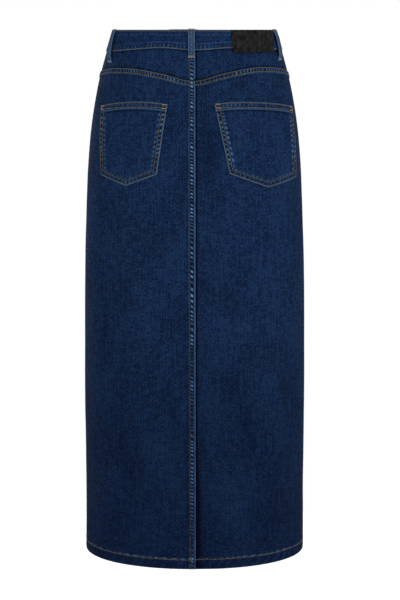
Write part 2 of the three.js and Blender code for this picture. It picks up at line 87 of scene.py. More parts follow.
# %% Rings of the form
class Table:
    """Rows under named columns, read along a smooth curve through the rows."""

    def __init__(self, columns, rows):
        values = np.array(sorted(rows), float).T
        self.key = values[0]
        self.columns = dict(zip(columns, values))

    def at(self, name, key):
        """The value of a column at a key."""
        value = self.columns[name]
        gap = np.diff(self.key)
        chord = np.diff(value) / gap
        inner = (chord[:-1] * gap[1:] + chord[1:] * gap[:-1]) / (gap[:-1] + gap[1:])
        slope = np.concatenate([chord[:1], inner, chord[-1:]])
        i = np.clip(np.searchsorted(self.key, key) - 1, 0, len(gap) - 1)
        t = (key - self.key[i]) / gap[i]
        start = (2 * t**3 - 3 * t**2 + 1) * value[i] + (t**3 - 2 * t**2 + t) * gap[i] * slope[i]
        end = (3 * t**2 - 2 * t**3) * value[i + 1] + (t**3 - t**2) * gap[i] * slope[i + 1]
        return start + end


SKIRT_LENGTH = 881.0
RINGS = Table(
    ("z", "half", "back", "front", "power"),
    [
        (30, 124.0, 96.0, 100.0, 2.15),
        (0, 134.6, 101.0, 105.0, 2.15),
        (-35, 145.4, 107.0, 112.0, 2.15),
        (-85, 158.8, 118.0, 119.0, 2.18),
        (-150, 170.6, 132.5, 124.0, 2.22),
        (-220, 177.4, 141.0, 127.0, 2.25),
        (-300, 181.2, 143.5, 129.0, 2.25),
        (-420, 184.7, 144.0, 132.0, 2.22),
        (-560, 186.4, 144.0, 135.0, 2.18),
        (-720, 186.4, 143.5, 138.0, 2.15),
        (-SKIRT_LENGTH, 186.5, 143.0, 141.0, 2.12),
        (-900, 186.5, 143.0, 141.0, 2.12),
    ],
)


def ring_point(angle, z):
    """A point of the form, at an angle and a height."""
    angle, z = np.broadcast_arrays(np.asarray(angle, float), np.asarray(z, float))
    side, along = np.sin(np.radians(angle)), np.cos(np.radians(angle))
    depth = np.where(along >= 0, RINGS.at("back", z), RINGS.at("front", z))
    power = RINGS.at("power", z)
    total = (np.abs(along) / depth) ** power + (np.abs(side) / RINGS.at("half", z)) ** power
    radius = total ** (-1 / power)
    return np.stack([radius * side, radius * along, z], axis=-1)


def cloth_normal(angle, z):
    """The direction straight out of the form, from two short steps along it."""
    across = ring_point(angle + 0.5, z) - ring_point(angle - 0.5, z)
    up = ring_point(angle, z + 2.0) - ring_point(angle, z - 2.0)
    normal = np.cross(up, across)
    return normal / np.linalg.norm(normal, axis=-1, keepdims=True)


print("half width at the hips:", round(float(RINGS.at("half", -300.0)), 1), "mm")

# %% [markdown]
# ## Folds, placed one by one
# The folds could come from a cloth simulation, but then they would not lie where the photograph
# shows them. Each row of the table is one soft fold instead: it runs straight from one angle and height
# to another, fades over its width, and is a trough where its depth is below zero. The first rows are
# the main folds that the solids have too. The later ones are finer creases of the cloth alone.

# %% Folds
FOLD_COLUMNS = ("from_angle", "from_z", "to_angle", "to_z", "width", "from_depth", "to_depth")
FOLDS = [
    (50, -300, 46, -790, 19, -2.2, -3.6),
    (36, -420, 31, -760, 24, 1.2, 2.4),
    (-3, -412, -41, -456, 17, -3.4, -1.6),
    (-8, -472, -34, -492, 18, 2.2, 1.4),
    (-4, -521, -34, -632, 18, -2.8, -2.2),
    (-38, -668, -41, -800, 19, -2.4, -1.8),
    (-13, -610, -25, -800, 22, 1.6, 2.4),
    (5, -452, 28, -398, 16, -2.2, -1.2),
    (5, -370, 27, -310, 15, -1.4, -0.8),
    (-9, -160, -12, -262, 16, -1.8, -1.2),
    (-8, -740, -6, -862, 17, -1.4, -2.6),
    (-68, -470, -62, -840, 26, -1.4, -2.6),
    (76, -420, 72, -830, 26, -1.6, -2.8),
    (128, -330, 131, -820, 22, -2.0, -3.4),
    (147, -420, 150, -790, 24, 1.4, 2.4),
    (174, -300, 148, -346, 16, -2.4, -1.2),
    (-174, -352, -144, -408, 17, -2.6, -1.4),
    (-171, -560, -140, -660, 19, -1.8, -2.4),
    (-134, -420, -128, -830, 23, -1.8, -3.2),
    (172, -720, 175, -860, 18, -1.4, -2.6),
    (8, -268, 15, -330, 9, -0.7, -0.3),
    (-7, -300, -22, -322, 9, -0.8, -0.3),
    (6, -540, 21, -516, 9, -0.8, -0.3),
    (6, -640, 16, -700, 10, -0.8, -0.4),
    (-6, -664, -15, -700, 9, -0.7, -0.3),
    (58, -560, 60, -700, 11, 0.7, 0.4),
    (20, -590, 24, -720, 13, 0.6, 0.9),
    (-52, -560, -50, -700, 13, 0.8, 0.5),
    (168, -430, 154, -452, 9, -0.8, -0.3),
    (-166, -480, -150, -505, 9, -0.8, -0.3),
]
MM_PER_DEGREE = 2.8


def fold_height(angle, z):
    """How far the folds move the cloth out, in millimetres."""
    total = np.zeros(np.broadcast(angle, z).shape)
    for row in FOLDS:
        fold = dict(zip(FOLD_COLUMNS, row))
        run_x = (fold["to_angle"] - fold["from_angle"]) * MM_PER_DEGREE
        run_z = fold["to_z"] - fold["from_z"]
        x = ((angle - fold["from_angle"] + 180) % 360 - 180) * MM_PER_DEGREE
        y = z - fold["from_z"]
        share = np.clip((x * run_x + y * run_z) / (run_x**2 + run_z**2), 0, 1)
        away = np.hypot(x - share * run_x, y - share * run_z)
        depth = fold["from_depth"] + (fold["to_depth"] - fold["from_depth"]) * share
        total += depth * np.exp(-((away / fold["width"]) ** 2))
    return total


print("folds:", len(FOLDS))

# %% [markdown]
# ## Unevenness
# No cloth is perfectly even. Value noise is the simplest kind of smooth randomness: a small square of
# seeded random numbers, blended between its points. The same function later places the ripples of
# the seams, so every run of the script gives the same skirt.

# %% Smooth noise
LATTICE_SIZE = 64
LATTICE = np.random.default_rng(11).uniform(-1, 1, (LATTICE_SIZE, LATTICE_SIZE))


def noise(x, y=0.0, seed=0):
    """Smooth random values from -1 to 1."""
    x, y = np.broadcast_arrays(np.asarray(x, float) + 17.31 * seed, np.asarray(y, float) + 9.73 * seed)
    i, j = np.floor(x).astype(int), np.floor(y).astype(int)
    u, v = x - i, y - j
    u, v = u * u * (3 - 2 * u), v * v * (3 - 2 * v)
    corner = lambda a, b: LATTICE[(i + a) % LATTICE_SIZE, (j + b) % LATTICE_SIZE]
    lower = corner(0, 0) * (1 - u) + corner(1, 0) * u
    upper = corner(0, 1) * (1 - u) + corner(1, 1) * u
    return lower * (1 - v) + upper * v


print("noise at a few places:", noise(np.linspace(0, 2, 5)).round(2))

# %% Places on the cloth
def body_relief(angle, z):
    """Folds and slight unevenness, shared by every piece so that they stay together at the seams."""
    side, along = 3.1 * np.sin(np.radians(angle)), 3.1 * np.cos(np.radians(angle))
    broad = noise(side, z / 105, 1) + noise(along, z / 95, 3)
    small = noise(3 * side, z / 33, 2) + noise(3 * along, z / 29, 4)
    return fold_height(angle, z) + 0.32 * broad + 0.13 * small


def cloth_point(angle, z, out):
    """A point of the cloth, moved out of the form along its normal."""
    out = np.asarray(out) + body_relief(angle, z)
    return ring_point(angle, z) + cloth_normal(angle, z) * out[..., None]


ARC_ANGLES = np.linspace(-230, 230, 921)
ARC_LEVEL = -300.0
_ring = ring_point(ARC_ANGLES, ARC_LEVEL)
_steps = np.linalg.norm(np.diff(_ring, axis=0), axis=1)
ARC_LENGTHS = np.concatenate([[0.0], np.cumsum(_steps)])
ARC_LENGTHS -= np.interp(0.0, ARC_ANGLES, ARC_LENGTHS)


def arc(angle, z):
    """Distance round the skirt from the centre back, in millimetres."""
    scale = RINGS.at("half", np.asarray(z, float)) / RINGS.at("half", ARC_LEVEL)
    return np.interp(angle, ARC_ANGLES, ARC_LENGTHS) * scale


def angle_at(length, z):
    """The angle at a distance round the skirt from the centre back."""
    scale = RINGS.at("half", np.asarray(z, float)) / RINGS.at("half", ARC_LEVEL)
    return np.interp(length / scale, ARC_LENGTHS, ARC_ANGLES)


print("round the hips:", round(2 * float(arc(180.0, -220.0))), "mm")

# %% [markdown]
# ## Where the seams run
# The waist seam and the yoke seam are curves round the skirt. The yoke seam dips to a point at the
# centre back, which is what shapes the seat of the skirt.

# %% Seam lines
CENTRE_BACK = -0.68
SIDE_SEAM = 93.0
CENTRE_FRONT = 180.0
WAIST_SEAM = Table(
    ("angle", "z"),
    [(-215, -34), (-180, -34), (-93, -33.4), (-70, -32.2), (-32, -29.2), (0, -32.8), (30, -29.2),
     (52, -32.3), (70, -35.4), (93, -36), (180, -34), (215, -34)],
)
YOKE_SEAM = Table(
    ("angle", "z"),
    [(-93, -72), (-68, -61.5), (-50, -60), (-24, -69), (0, -81), (27, -69.2), (48, -62.1), (66, -62),
     (93, -71)],
)


def waist_seam(angle):
    """Height of the waist seam at an angle."""
    return WAIST_SEAM.at("z", angle)


def yoke_seam(angle):
    """Height of the yoke seam at an angle."""
    return YOKE_SEAM.at("z", angle)


print("yoke seam at the centre back:", round(-float(yoke_seam(0.0))), "mm below the waist")

# %% [markdown]
# ## Ripples of a stitched seam
# When washed, the thread of a denim seam shrinks more than the cloth. The seam draws up into small
# ripples, their tops wear pale and their hollows stay dark. That ladder of light and dark is what the eye
# reads as denim, so it is made twice from one formula: as real relief, and as a wear value that is kept at
# each point for the material to read.

# %% Helpers for seam relief
TAU = 2 * np.pi
CLOTH = 1.2


def near(distance, width):
    """One at a distance of zero, fading to nothing over the width."""
    return np.exp(-((distance / width) ** 2))


def rising(start, end, value):
    """Zero before the start, one after the end, and smooth between."""
    t = np.clip((value - start) / (end - start), 0, 1)
    return t * t * (3 - 2 * t)


def fold_drop(distance, radius, depth):
    """How far a folded edge rounds down, at a distance from the fold."""
    t = np.clip(1 - distance / radius, 0, 1)
    return depth * (1 - np.sqrt(np.clip(1 - t * t, 0, 1)))


print("a folded edge of 1 mm drops", round(float(fold_drop(0.5, 1.0, 1.0)), 2), "mm at 0.5 mm from the fold")

# %% Ripples and felled seams
FELL_WIDTH = 10.6
FELL_RAISE = 1.2
FELL_SLOPE = 1.5
YOKE_FELL_WIDTH = 8.6
# Distances of the two rows of stitches from the fold
FELL_ROWS = (2.6, 8.7)
YOKE_ROWS_AT = (0.9, 6.9)


def ripples(along, across, pitch, seed, slant=0.12):
    """Uneven ripples along a seam, from zero in a hollow to one on a ripple."""
    drift = 0.6 * pitch * noise(along / (2.7 * pitch), 0.0, seed)
    wave = 0.5 + 0.5 * np.cos(TAU * (along + drift + slant * across) / pitch)
    strength = 0.85 + 0.35 * noise(along / (1.9 * pitch), 3.0, seed + 1)
    return np.clip(wave * strength, 0, 1)


def felled_seam(across, along, width, rows, pitch, seed, ladder, slant=0.12):
    """Relief in millimetres, and wear with painted shade, of a felled seam, across from its fold and along
    its length.
    """
    ripple = ripples(along, across, pitch, seed, slant)
    fine = ripples(along, across, 0.62 * pitch, seed + 5, slant=-0.2)
    body = 1 - rising(width - 0.5, width + FELL_SLOPE, across)
    middle = 0.5 * (rows[0] + rows[1])
    crown = near(across - middle, 0.35 * (rows[1] - rows[0]))
    pulled = near(across - rows[0], 0.8) + near(across - rows[1], 0.8)
    relief = FELL_RAISE * body + body * (0.55 * crown * (ripple - 0.4) - 0.3 * pulled)
    fold_line = near(across - 0.1, 1.1) * (0.52 + 0.28 * fine + 0.2 * noise(along / 13, 0.0, seed + 7))
    far_line = near(across - rows[1] - 1.5, 1.0) * (0.02 + 0.42 * fine)
    # The dark line just beyond the strip's far edge is painted shadow.
    lines = fold_line + far_line - 0.16 * near(across - width - 2.6, 1.6)
    # Where pulled darkens the stitch rows, it is painted shade in their grooves.
    return relief, ladder * crown * (ripple - 0.46) + lines - 0.5 * pulled


def tucked_edge(distance, depth, shade):
    """Relief, and painted shadow as negative wear, of cloth that slips under its neighbour, at a distance
    from the fold above it. The shade sets how dark the painted shadow is.
    """
    return -depth * (1 - rising(-1.2, 1.6, distance)), -shade * near(distance - 1.5, 1.8)


print("felled seam:", FELL_WIDTH, "mm wide, stitched", FELL_ROWS, "mm from its fold")

# %% [markdown]
# ## From grids to cloth
# A cut piece of cloth is a grid: rows that run down the skirt and columns that run round it. The grid is
# fine beside the edges, where the relief is small, and coarser in between. A shell joins the outside, the
# inside and the edge between them into one closed mesh. A Solidify modifier could do the same, but here
# the hem, the fly and the folded edges each need their own thickness. The ripples of a felled seam are
# only a few millimetres long, so each felled strip is a second, much finer grid over its panel, which
# sinks a little below it and rises again to the same surface beside it.

# %% Grid lines
# Distances of the first grid lines from a plain edge
NEAR_EDGE = np.array([0, 0.3, 0.8, 1.6, 3.0])


def stations(start, end, after_start, before_end, count):
    """Places from start to end: fixed ones beside both ends, and a count of even steps between."""
    start, end = np.broadcast_arrays(np.asarray(start, float)[..., None], np.asarray(end, float)[..., None])
    sign = np.sign(end - start)
    first = start + sign * after_start
    last = end - sign * before_end[::-1]
    share = np.arange(1, count) / count
    between = first[..., -1:] + (last[..., :1] - first[..., -1:]) * share
    return np.concatenate([first, between, last], axis=-1)


print("grid lines across 10 mm:", stations(0.0, 10.0, NEAR_EDGE, NEAR_EDGE, 4).round(1))

# %% Meshes, UV maps and values at points
def mesh_object(name, points, faces, smooth=True):
    """A mesh object from points in millimetres, with its faces turned out."""
    points = np.asarray(points, float)
    faces = np.asarray(faces)
    a, b, c = (points[faces[:, i]] for i in (0, 1, 2))
    volume = np.einsum("ij,ij->i", a, np.cross(b, c)).sum()
    if faces.shape[1] == 4:
        d = points[faces[:, 3]]
        volume += np.einsum("ij,ij->i", a, np.cross(c, d)).sum()
    if volume < 0:
        faces = faces[:, ::-1]
    mesh = bpy.data.meshes.new(name)
    mesh.from_pydata((points * MM).tolist(), [], faces.tolist())
    mesh.polygons.foreach_set("use_smooth", np.full(len(faces), smooth))
    return add_object(name, mesh)


def set_uv(made, uv):
    """Keeps flat places in metres, one for each point, as the UV map that the weave follows."""
    layer = made.data.uv_layers.new(name="cloth")
    corner = np.zeros(len(made.data.loops), int)
    made.data.loops.foreach_get("vertex_index", corner)
    layer.data.foreach_set("uv", (np.asarray(uv)[corner] * MM).ravel())


def set_value(made, name, values):
    """Keeps one number at each point under a name, for an Attribute node to read."""
    kept = made.data.attributes.new(name, "FLOAT", "POINT")
    kept.data.foreach_set("value", np.asarray(values, float).ravel())


print("points are placed in millimetres and kept in metres, at a scale of", MM)

# %% Cloth shell
# The least thickness that a shell keeps where its outside sinks
LEAST_THICK = 0.3


def shell_faces(rows, columns):
    """Quads of a closed shell over a grid, and how many of them lie on its outside."""
    index = np.arange(rows * columns).reshape(rows, columns)
    inside = index + rows * columns
    quads = lambda g: np.stack([g[:-1, :-1], g[:-1, 1:], g[1:, 1:], g[1:, :-1]], -1).reshape(-1, 4)
    strip = lambda a, b: np.stack([a[:-1], b[:-1], b[1:], a[1:]], -1)
    rim = [strip(index[0], inside[0]), strip(inside[-1], index[-1]),
           strip(inside[:, 0], index[:, 0]), strip(index[:, -1], inside[:, -1])]
    outside = quads(index)
    return np.concatenate([outside, quads(inside)[:, ::-1], *rim]), len(outside)


def cut_places(angle, z, turned):
    """Places on the flat cut, whose warp runs down the skirt, or round it where the cut is turned."""
    if turned:
        return np.stack([z, arc(angle, z.mean())], -1).reshape(-1, 2)
    middle = np.sign(angle.mean()) * CENTRE_FRONT if np.abs(angle).mean() > SIDE_SEAM else 0.0
    return np.stack([arc(angle, z) - arc(middle, z), z], -1).reshape(-1, 2)


def cloth_shell(name, angle, z, outer, inner, wear_and_shade, turned=False):
    """A closed shell of cloth over a grid of places, its wear and painted shade kept at each point."""
    points = np.concatenate([cloth_point(angle, z, edge).reshape(-1, 3) for edge in (outer, inner)])
    faces, face_count = shell_faces(*angle.shape)
    made = mesh_object(name, points, faces)
    set_uv(made, np.tile(cut_places(angle, z, turned), (2, 1)))
    set_value(made, "wear_and_shade", np.concatenate([wear_and_shade.ravel(), np.zeros(wear_and_shade.size)]))
    slots = np.zeros(len(faces), int)
    slots[face_count:2 * face_count] = 1
    made.data.polygons.foreach_set("material_index", slots)
    return made


def cloth_area(angle, z):
    """Area of the cloth over a grid, in square metres."""
    p = cloth_point(angle, z, 0.0) * MM
    across, down = p[:-1, 1:] - p[:-1, :-1], p[1:, :-1] - p[:-1, :-1]
    return float(np.linalg.norm(np.cross(across, down), axis=-1).sum())


print("faces of a shell over 3 by 3 points:", len(shell_faces(3, 3)[0]))

# %% [markdown]
# ## Shader groups for cloth
# Three effects are used by several materials, so each is a node group, built once. The weave is
# computed: which warp yarn and which pick a place is on, and which of the two lies on top there. Uneven
# dye is layered noise, stretched along the warp. The third group mixes towards pale or deep blue by the
# value kept at each point of the mesh, broken up by fine speckle. That value holds the wear of the cloth
# and also painted shade: shadows beside folded edges and under the band, shade in creases, in stitch
# grooves and in soft patches, and a little painted light on the ridges of folds.

# %% Node helpers
def put(tree, kind, inputs=None, **settings):
    """A shader node with its settings, and with its inputs set to values or linked to sockets."""
    made = tree.nodes.new("ShaderNode" + kind)
    for name, value in settings.items():
        setattr(made, name, value)
    for name, value in (inputs or {}).items():
        if isinstance(value, bpy.types.NodeSocket):
            tree.links.new(value, made.inputs[name])
        else:
            made.inputs[name].default_value = value
    return made


def calc(tree, operation, *values):
    """The result of a Math node."""
    return put(tree, "Math", dict(enumerate(values)), operation=operation).outputs[0]


def clamped(tree, value):
    """A value held between zero and one."""
    return put(tree, "Clamp", {0: value}).outputs[0]


def blend(tree, share, low, high):
    """A colour between two others."""
    return put(tree, "Mix", {0: share, 6: low, 7: high}, data_type="RGBA").outputs[2]


def grain(tree, place, stretch, detail=2.0):
    """Noise of a size set by how many features there are in a metre, across and along."""
    scaled = put(tree, "VectorMath", {0: place, 1: (*stretch, 1.0)}, operation="MULTIPLY").outputs[0]
    return put(tree, "TexNoise", {"Vector": scaled, "Scale": 1.0, "Detail": detail}).outputs[0]


def shader_group(name, inputs, outputs):
    """A node group with named inputs and outputs, its given sockets and its result sockets."""
    group = bpy.data.node_groups.new(name, "ShaderNodeTree")
    for label, kind, value in inputs:
        socket = group.interface.new_socket(label, in_out="INPUT", socket_type="NodeSocket" + kind)
        if value is not None:
            socket.default_value = value
    for label, kind in outputs:
        group.interface.new_socket(label, in_out="OUTPUT", socket_type="NodeSocket" + kind)
    return group, group.nodes.new("NodeGroupInput").outputs, group.nodes.new("NodeGroupOutput").inputs


def use_group(tree, group, inputs):
    """The outputs of a node group that is placed in a material, with its inputs set or linked."""
    return put(tree, "Group", inputs, node_tree=group).outputs


print("node helpers are ready")

# %% Twill weave group
WARP_FLOAT = 4.0
twill_weave, given, result = shader_group(
    "twill_weave",
    [("Place", "Vector", None), ("Yarn spacing", "Float", 0.00055)],
    [("Weft", "Float"), ("Height", "Float")],
)
per_yarn = calc(twill_weave, "DIVIDE", 1.0, given["Yarn spacing"])
wander = put(twill_weave, "TexNoise", {"Vector": given["Place"], "Scale": 120.0, "Detail": 1.0}).outputs[1]
moved = put(twill_weave, "VectorMath", {0: wander, 1: (0.0012, 0.0012, 0), 2: given["Place"]},
            operation="MULTIPLY_ADD").outputs[0]
counted = put(twill_weave, "VectorMath", {0: moved, "Scale": per_yarn}, operation="SCALE").outputs[0]
yarns = put(twill_weave, "SeparateXYZ", {0: counted}).outputs
warp_number = calc(twill_weave, "FLOOR", yarns[0])
pick_number = calc(twill_weave, "FLOOR", yarns[1])
difference = calc(twill_weave, "SUBTRACT", warp_number, pick_number)
turn = calc(twill_weave, "FLOORED_MODULO", difference, WARP_FLOAT)
weft_on_top = calc(twill_weave, "LESS_THAN", turn, 0.5)


def yarn_round(count):
    """Height across a yarn, from zero at its sides to one at its middle."""
    offset = calc(twill_weave, "MULTIPLY_ADD", calc(twill_weave, "FRACT", count), 2.0, -1.0)
    return calc(twill_weave, "SUBTRACT", 1.0, calc(twill_weave, "MULTIPLY", offset, offset))


weft_round = yarn_round(yarns[1])
weft_shown = calc(twill_weave, "MULTIPLY", weft_on_top, weft_round)
warp_on_top = calc(twill_weave, "SUBTRACT", 1.0, weft_on_top)
warp_shown = calc(twill_weave, "MULTIPLY", warp_on_top, yarn_round(yarns[0]))
twill_weave.links.new(weft_shown, result["Weft"])
twill_weave.links.new(calc(twill_weave, "MULTIPLY_ADD", weft_shown, 0.6, warp_shown), result["Height"])
print("twill: the weft lies on top once in", int(WARP_FLOAT), "yarns")

# %% Uneven dye group
uneven_dye, given, result = shader_group("uneven_dye", [("Place", "Vector", None)], [("Shade", "Float")])
# Features in a metre across and along, and how strongly each layer counts
DYE_LAYERS = [
    ((430, 20), 3.3),
    ((620, 260), 7.0),
    ((45, 480), 2.0),
    ((120, 95), 2.8),
    ((17, 11), 1.9),
]
shade = None
for stretch, strength in DYE_LAYERS:
    layer = grain(uneven_dye, given["Place"], stretch)
    carried = -0.5 * strength + 0.5 if shade is None else calc(uneven_dye, "ADD", shade, -0.5 * strength)
    shade = calc(uneven_dye, "MULTIPLY_ADD", layer, strength, carried)
uneven_dye.links.new(clamped(uneven_dye, shade), result["Shade"])
print("uneven dye:", len(DYE_LAYERS), "layers of noise")

# %% Wear and painted shade group
wear_and_shade_tint, given, result = shader_group(
    "wear_and_shade_tint",
    [("Color", "Color", None), ("Worn and lit color", "Color", None), ("Deep color", "Color", None),
     ("Wear and shade", "Float", 0.0), ("Place", "Vector", None)],
    [("Color", "Color")],
)
speckle = grain(wear_and_shade_tint, given["Place"], (520, 420), detail=3.0)
broken = calc(wear_and_shade_tint, "MULTIPLY", given["Wear and shade"], calc(wear_and_shade_tint, "MULTIPLY_ADD", speckle, 1.5, 0.2))
deep = clamped(wear_and_shade_tint, calc(wear_and_shade_tint, "MULTIPLY", given["Wear and shade"], -1.0))
toned = blend(wear_and_shade_tint, clamped(wear_and_shade_tint, broken), given["Color"], given["Worn and lit color"])
wear_and_shade_tint.links.new(blend(wear_and_shade_tint, deep, toned, given["Deep color"]), result["Color"])
print("groups:", ", ".join(g.name for g in bpy.data.node_groups))

# %% [markdown]
# ## Denim, outside and inside
# Denim is a warp-faced twill: the indigo warp shows on the outside and the pale weft on the inside, so
# the skirt needs two materials on one shell. Only the shader itself stays here in the material. Cloth this
# dark has hardly any gloss, so its specular level is very low and its roughness high.

# %% Material helpers
def new_material(name, roughness, specular, metallic=0.0, sheen=0.0):
    """A material with a Principled shader, its tree and its shader."""
    made = bpy.data.materials.new(name)
    made.use_nodes = True
    shader = made.node_tree.nodes["Principled BSDF"]
    shader.inputs["Roughness"].default_value = roughness
    shader.inputs["Specular IOR Level"].default_value = specular
    shader.inputs["Metallic"].default_value = metallic
    shader.inputs["Sheen Weight"].default_value = sheen
    return made, made.node_tree, shader


def add_bump(tree, shader, strength, distance, height):
    """A Bump node that turns a height into the shader's normal."""
    bump = put(tree, "Bump", {"Strength": strength, "Distance": distance, "Height": height})
    tree.links.new(bump.outputs[0], shader.inputs["Normal"])


def cloth_place(tree):
    """The place on the flat cut, from the UV map."""
    return put(tree, "UVMap", uv_map="cloth").outputs[0]


def wear_and_shade_value(tree):
    """The wear and painted shade that are kept at each point of a mesh."""
    return put(tree, "Attribute", attribute_name="wear_and_shade").outputs["Fac"]


print("material helpers are ready")

# %% Denim materials
WARP_BLUE = (0.0014, 0.0052, 0.0208, 1)
WARP_LIGHT = (0.0056, 0.0177, 0.0540, 1)
WEFT_PALE = (0.015, 0.028, 0.050, 1)
# The worn blue is the pale of rubbed cloth and also painted light on the ridges of folds. The deep blue below
# it is mostly painted shade, beside folded edges, under the band, in creases and stitch grooves, and it also
# darkens the hollows of seam ripples.
WORN_AND_LIT_BLUE = (0.078, 0.160, 0.285, 1)
DEEP_BLUE = (0.0006, 0.0014, 0.0070, 1)
INSIDE_PALE = (0.15, 0.20, 0.29, 1)
INSIDE_BLUE = (0.045, 0.07, 0.13, 1)
YARN_DEPTH = 0.00012


def denim_outside(name, warp, light):
    """The indigo face of the denim, dyed unevenly between two blues."""
    made, tree, shader = new_material(name, roughness=0.95, specular=0.02)
    place = cloth_place(tree)
    weave = use_group(tree, twill_weave, {"Place": place})
    shade = use_group(tree, uneven_dye, {"Place": place})["Shade"]
    dyed = blend(tree, shade, warp, light)
    woven = blend(tree, calc(tree, "MULTIPLY", weave["Weft"], 0.55), dyed, WEFT_PALE)
    worn_and_shaded = use_group(tree, wear_and_shade_tint, {"Color": woven, "Worn and lit color": WORN_AND_LIT_BLUE, "Deep color": DEEP_BLUE,
                                      "Wear and shade": wear_and_shade_value(tree), "Place": place})
    tree.links.new(worn_and_shaded["Color"], shader.inputs["Base Color"])
    add_bump(tree, shader, 0.6, YARN_DEPTH, weave["Height"])
    return made


def denim_inside():
    """The paler weft side of the denim."""
    made, tree, shader = new_material("denim_inside", roughness=0.95, specular=0.06)
    place = cloth_place(tree)
    weave = use_group(tree, twill_weave, {"Place": place})
    shade = use_group(tree, uneven_dye, {"Place": place})["Shade"]
    woven = blend(tree, calc(tree, "MULTIPLY", weave["Weft"], 0.8), INSIDE_PALE, INSIDE_BLUE)
    uneven = blend(tree, calc(tree, "MULTIPLY", shade, 0.5), woven, INSIDE_BLUE)
    tree.links.new(uneven, shader.inputs["Base Color"])
    add_bump(tree, shader, 0.6, YARN_DEPTH, weave["Height"])
    return made


def lighter(color, factor):
    """A colour with its channels made brighter by a factor."""
    return (*(factor * channel for channel in color[:3]), 1)


body_denim = denim_outside("denim_body", WARP_BLUE, WARP_LIGHT)
upper_denim = denim_outside("denim_upper", lighter(WARP_BLUE, 1.06), lighter(WARP_LIGHT, 1.06))
inside_denim = denim_inside()
print("denim materials:", body_denim.name, upper_denim.name, inside_denim.name)

# %% [markdown]
# ## Finishing a piece
# Every visible piece gets its materials and rides on the body of the part, and most of them stand for a
# solid, which is then hidden. For cloth the size of its flat cut is also printed: here the size that
# shows, measured on the grid itself.

# %% Finishing helper
pieces = {}


def finish_piece(made, materials, node=None):
    """Gives a piece its materials, its body and the solid it stands for."""
    for material in materials:
        made.data.materials.append(material)
    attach(made, "root")
    if node:
        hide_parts(node)
    pieces[made.name] = made


def finish_cloth(made, node, outside, angle, z):
    finish_piece(made, [outside, inside_denim], node)
    width = float((arc(angle, z).max(axis=1) - arc(angle, z).min(axis=1)).max()) * MM
    length = float(z.max() - z.min()) * MM
    area = min(cloth_area(angle, z), width * length)
    print(f"{made.name}: {len(made.data.polygons)} faces, cut {width * 1000:.0f} by {length * 1000:.0f} mm")


def one_material(made):
    """Puts the inside of a shell in the same material as its outside."""
    made.data.polygons.foreach_set("material_index", np.zeros(len(made.data.polygons), int))


print("pieces so far:", len(pieces))

# %% [markdown]
# ## The long panels
# A back panel is one length of cloth from the yoke seam to the hem. At its top it folds over the yoke, at
# the centre back the wearer's left one folds over the right one, and at the hem it is turned up twice.
# Each of these is a formula of the distance to that edge, so the whole outside of a panel is one function
# of angle and height. The stitching asks the same function later where the cloth lies.

# %% Hem relief
HEM_ROW = 16.5
HEM_THICK = 2.2
HEM_DEPTH = 17.5
# Radius and depth of the rounding at the fold
HEM_FOLD = (1.5, 1.4)


def hem_edge(angle, above):
    """Relief and wear of the turned-up hem, at a height above its edge."""
    along = arc(angle, -SKIRT_LENGTH)
    rope = ripples(along, above, 17.5, seed=41, slant=0.8)
    dashes = ripples(along, above, 13.0, seed=43)
    band = 1 - rising(HEM_DEPTH - 2.5, HEM_DEPTH + 1, above)
    row = hem_row(angle)
    relief = 0.5 * band * near(above - 8, 6) * (rope - 0.35) - 0.3 * near(above - row, 0.8)
    relief += 0.35 * near(above - row - 2.0, 1.2) - fold_drop(above, *HEM_FOLD)
    wear_and_shade = near(above - row - 1.9, 1.2) * (0.8 * dashes + 0.3) + 0.55 * near(above - 0.7, 1.2)
    return relief, wear_and_shade + 0.4 * band * (rope - 0.5)


def hem_row(angle):
    """Height of the hem's stitch row above the edge: sewn by hand and eye, it wanders a little."""
    return HEM_ROW + 0.9 * noise(arc(angle, -SKIRT_LENGTH) / 85, 0.0, 51)


def panel_inside(z):
    """The inside of a panel, thickened by the hem's turned-up layers."""
    above = z + SKIRT_LENGTH
    turned_up = HEM_THICK * (1 - rising(HEM_DEPTH - 1, HEM_DEPTH + 1, above))
    return -CLOTH - turned_up + fold_drop(above, *HEM_FOLD)


print("hem:", HEM_DEPTH, "mm deep, with its row", HEM_ROW, "mm above the edge")

# %% Grid of a long panel
YOKE_LEVEL = -72.0
PANEL_ROWS = 236
PANEL_COLUMNS = 54
# Distances of grid lines from a seam: under a felled strip, under a neighbour's fold, and at the hem
UNDER_FELL = np.array([0, 3.5, 8.0, 11.6, 12.3, 13.0, 14.5])
UNDER_YOKE_FELL = np.array([0, 3.0, 6.5, 9.6, 10.3, 11.0, 12.5])
NEAR_TUCK = np.array([-3.0, -1.2, -0.6, 0, 0.6, 1.2, 2.0, 3.2, 5.0])
NEAR_HEM = np.array([0, 0.2, 0.6, 1.2, 2.2, 3.6, 5.2, 7.0, 8.8, 10.6, 12.2, 13.6, 14.8, 15.6, 16.4, 17.2,
                     18.0, 18.8, 19.8, 21.5])


def panel_grid(centre, side, start, top_level, top_line, after_start, after_top):
    """Angles and heights of a long panel, from its centre seam to its side seam and down to the hem."""
    level = stations(top_level, -SKIRT_LENGTH, after_top, NEAR_HEM, PANEL_ROWS)
    direction = np.sign(side - centre)
    width = direction * (arc(side, level) - arc(centre, level))
    from_centre = stations(start(level), width, after_start, NEAR_EDGE, PANEL_COLUMNS)
    angle = angle_at(arc(centre, level)[:, None] + direction * from_centre, level[:, None])
    top_fixed, hem_fixed = level[len(after_top) - 1], level[-len(NEAR_HEM)]
    share = np.clip((level - hem_fixed) / (top_fixed - hem_fixed), 0, 1)[:, None]
    return angle, level[:, None] + (top_line(angle) - top_level) * share


print("grid of a long panel: about", PANEL_ROWS, "rows and", PANEL_COLUMNS, "columns between its edges")

# %% Centre back and side seams
def ladder_run(z):
    """Length along the centre back seam as its ripples count it: they grow longer towards the hem."""
    return -z / (1 + 0.12 * rising(-300, -500, z))


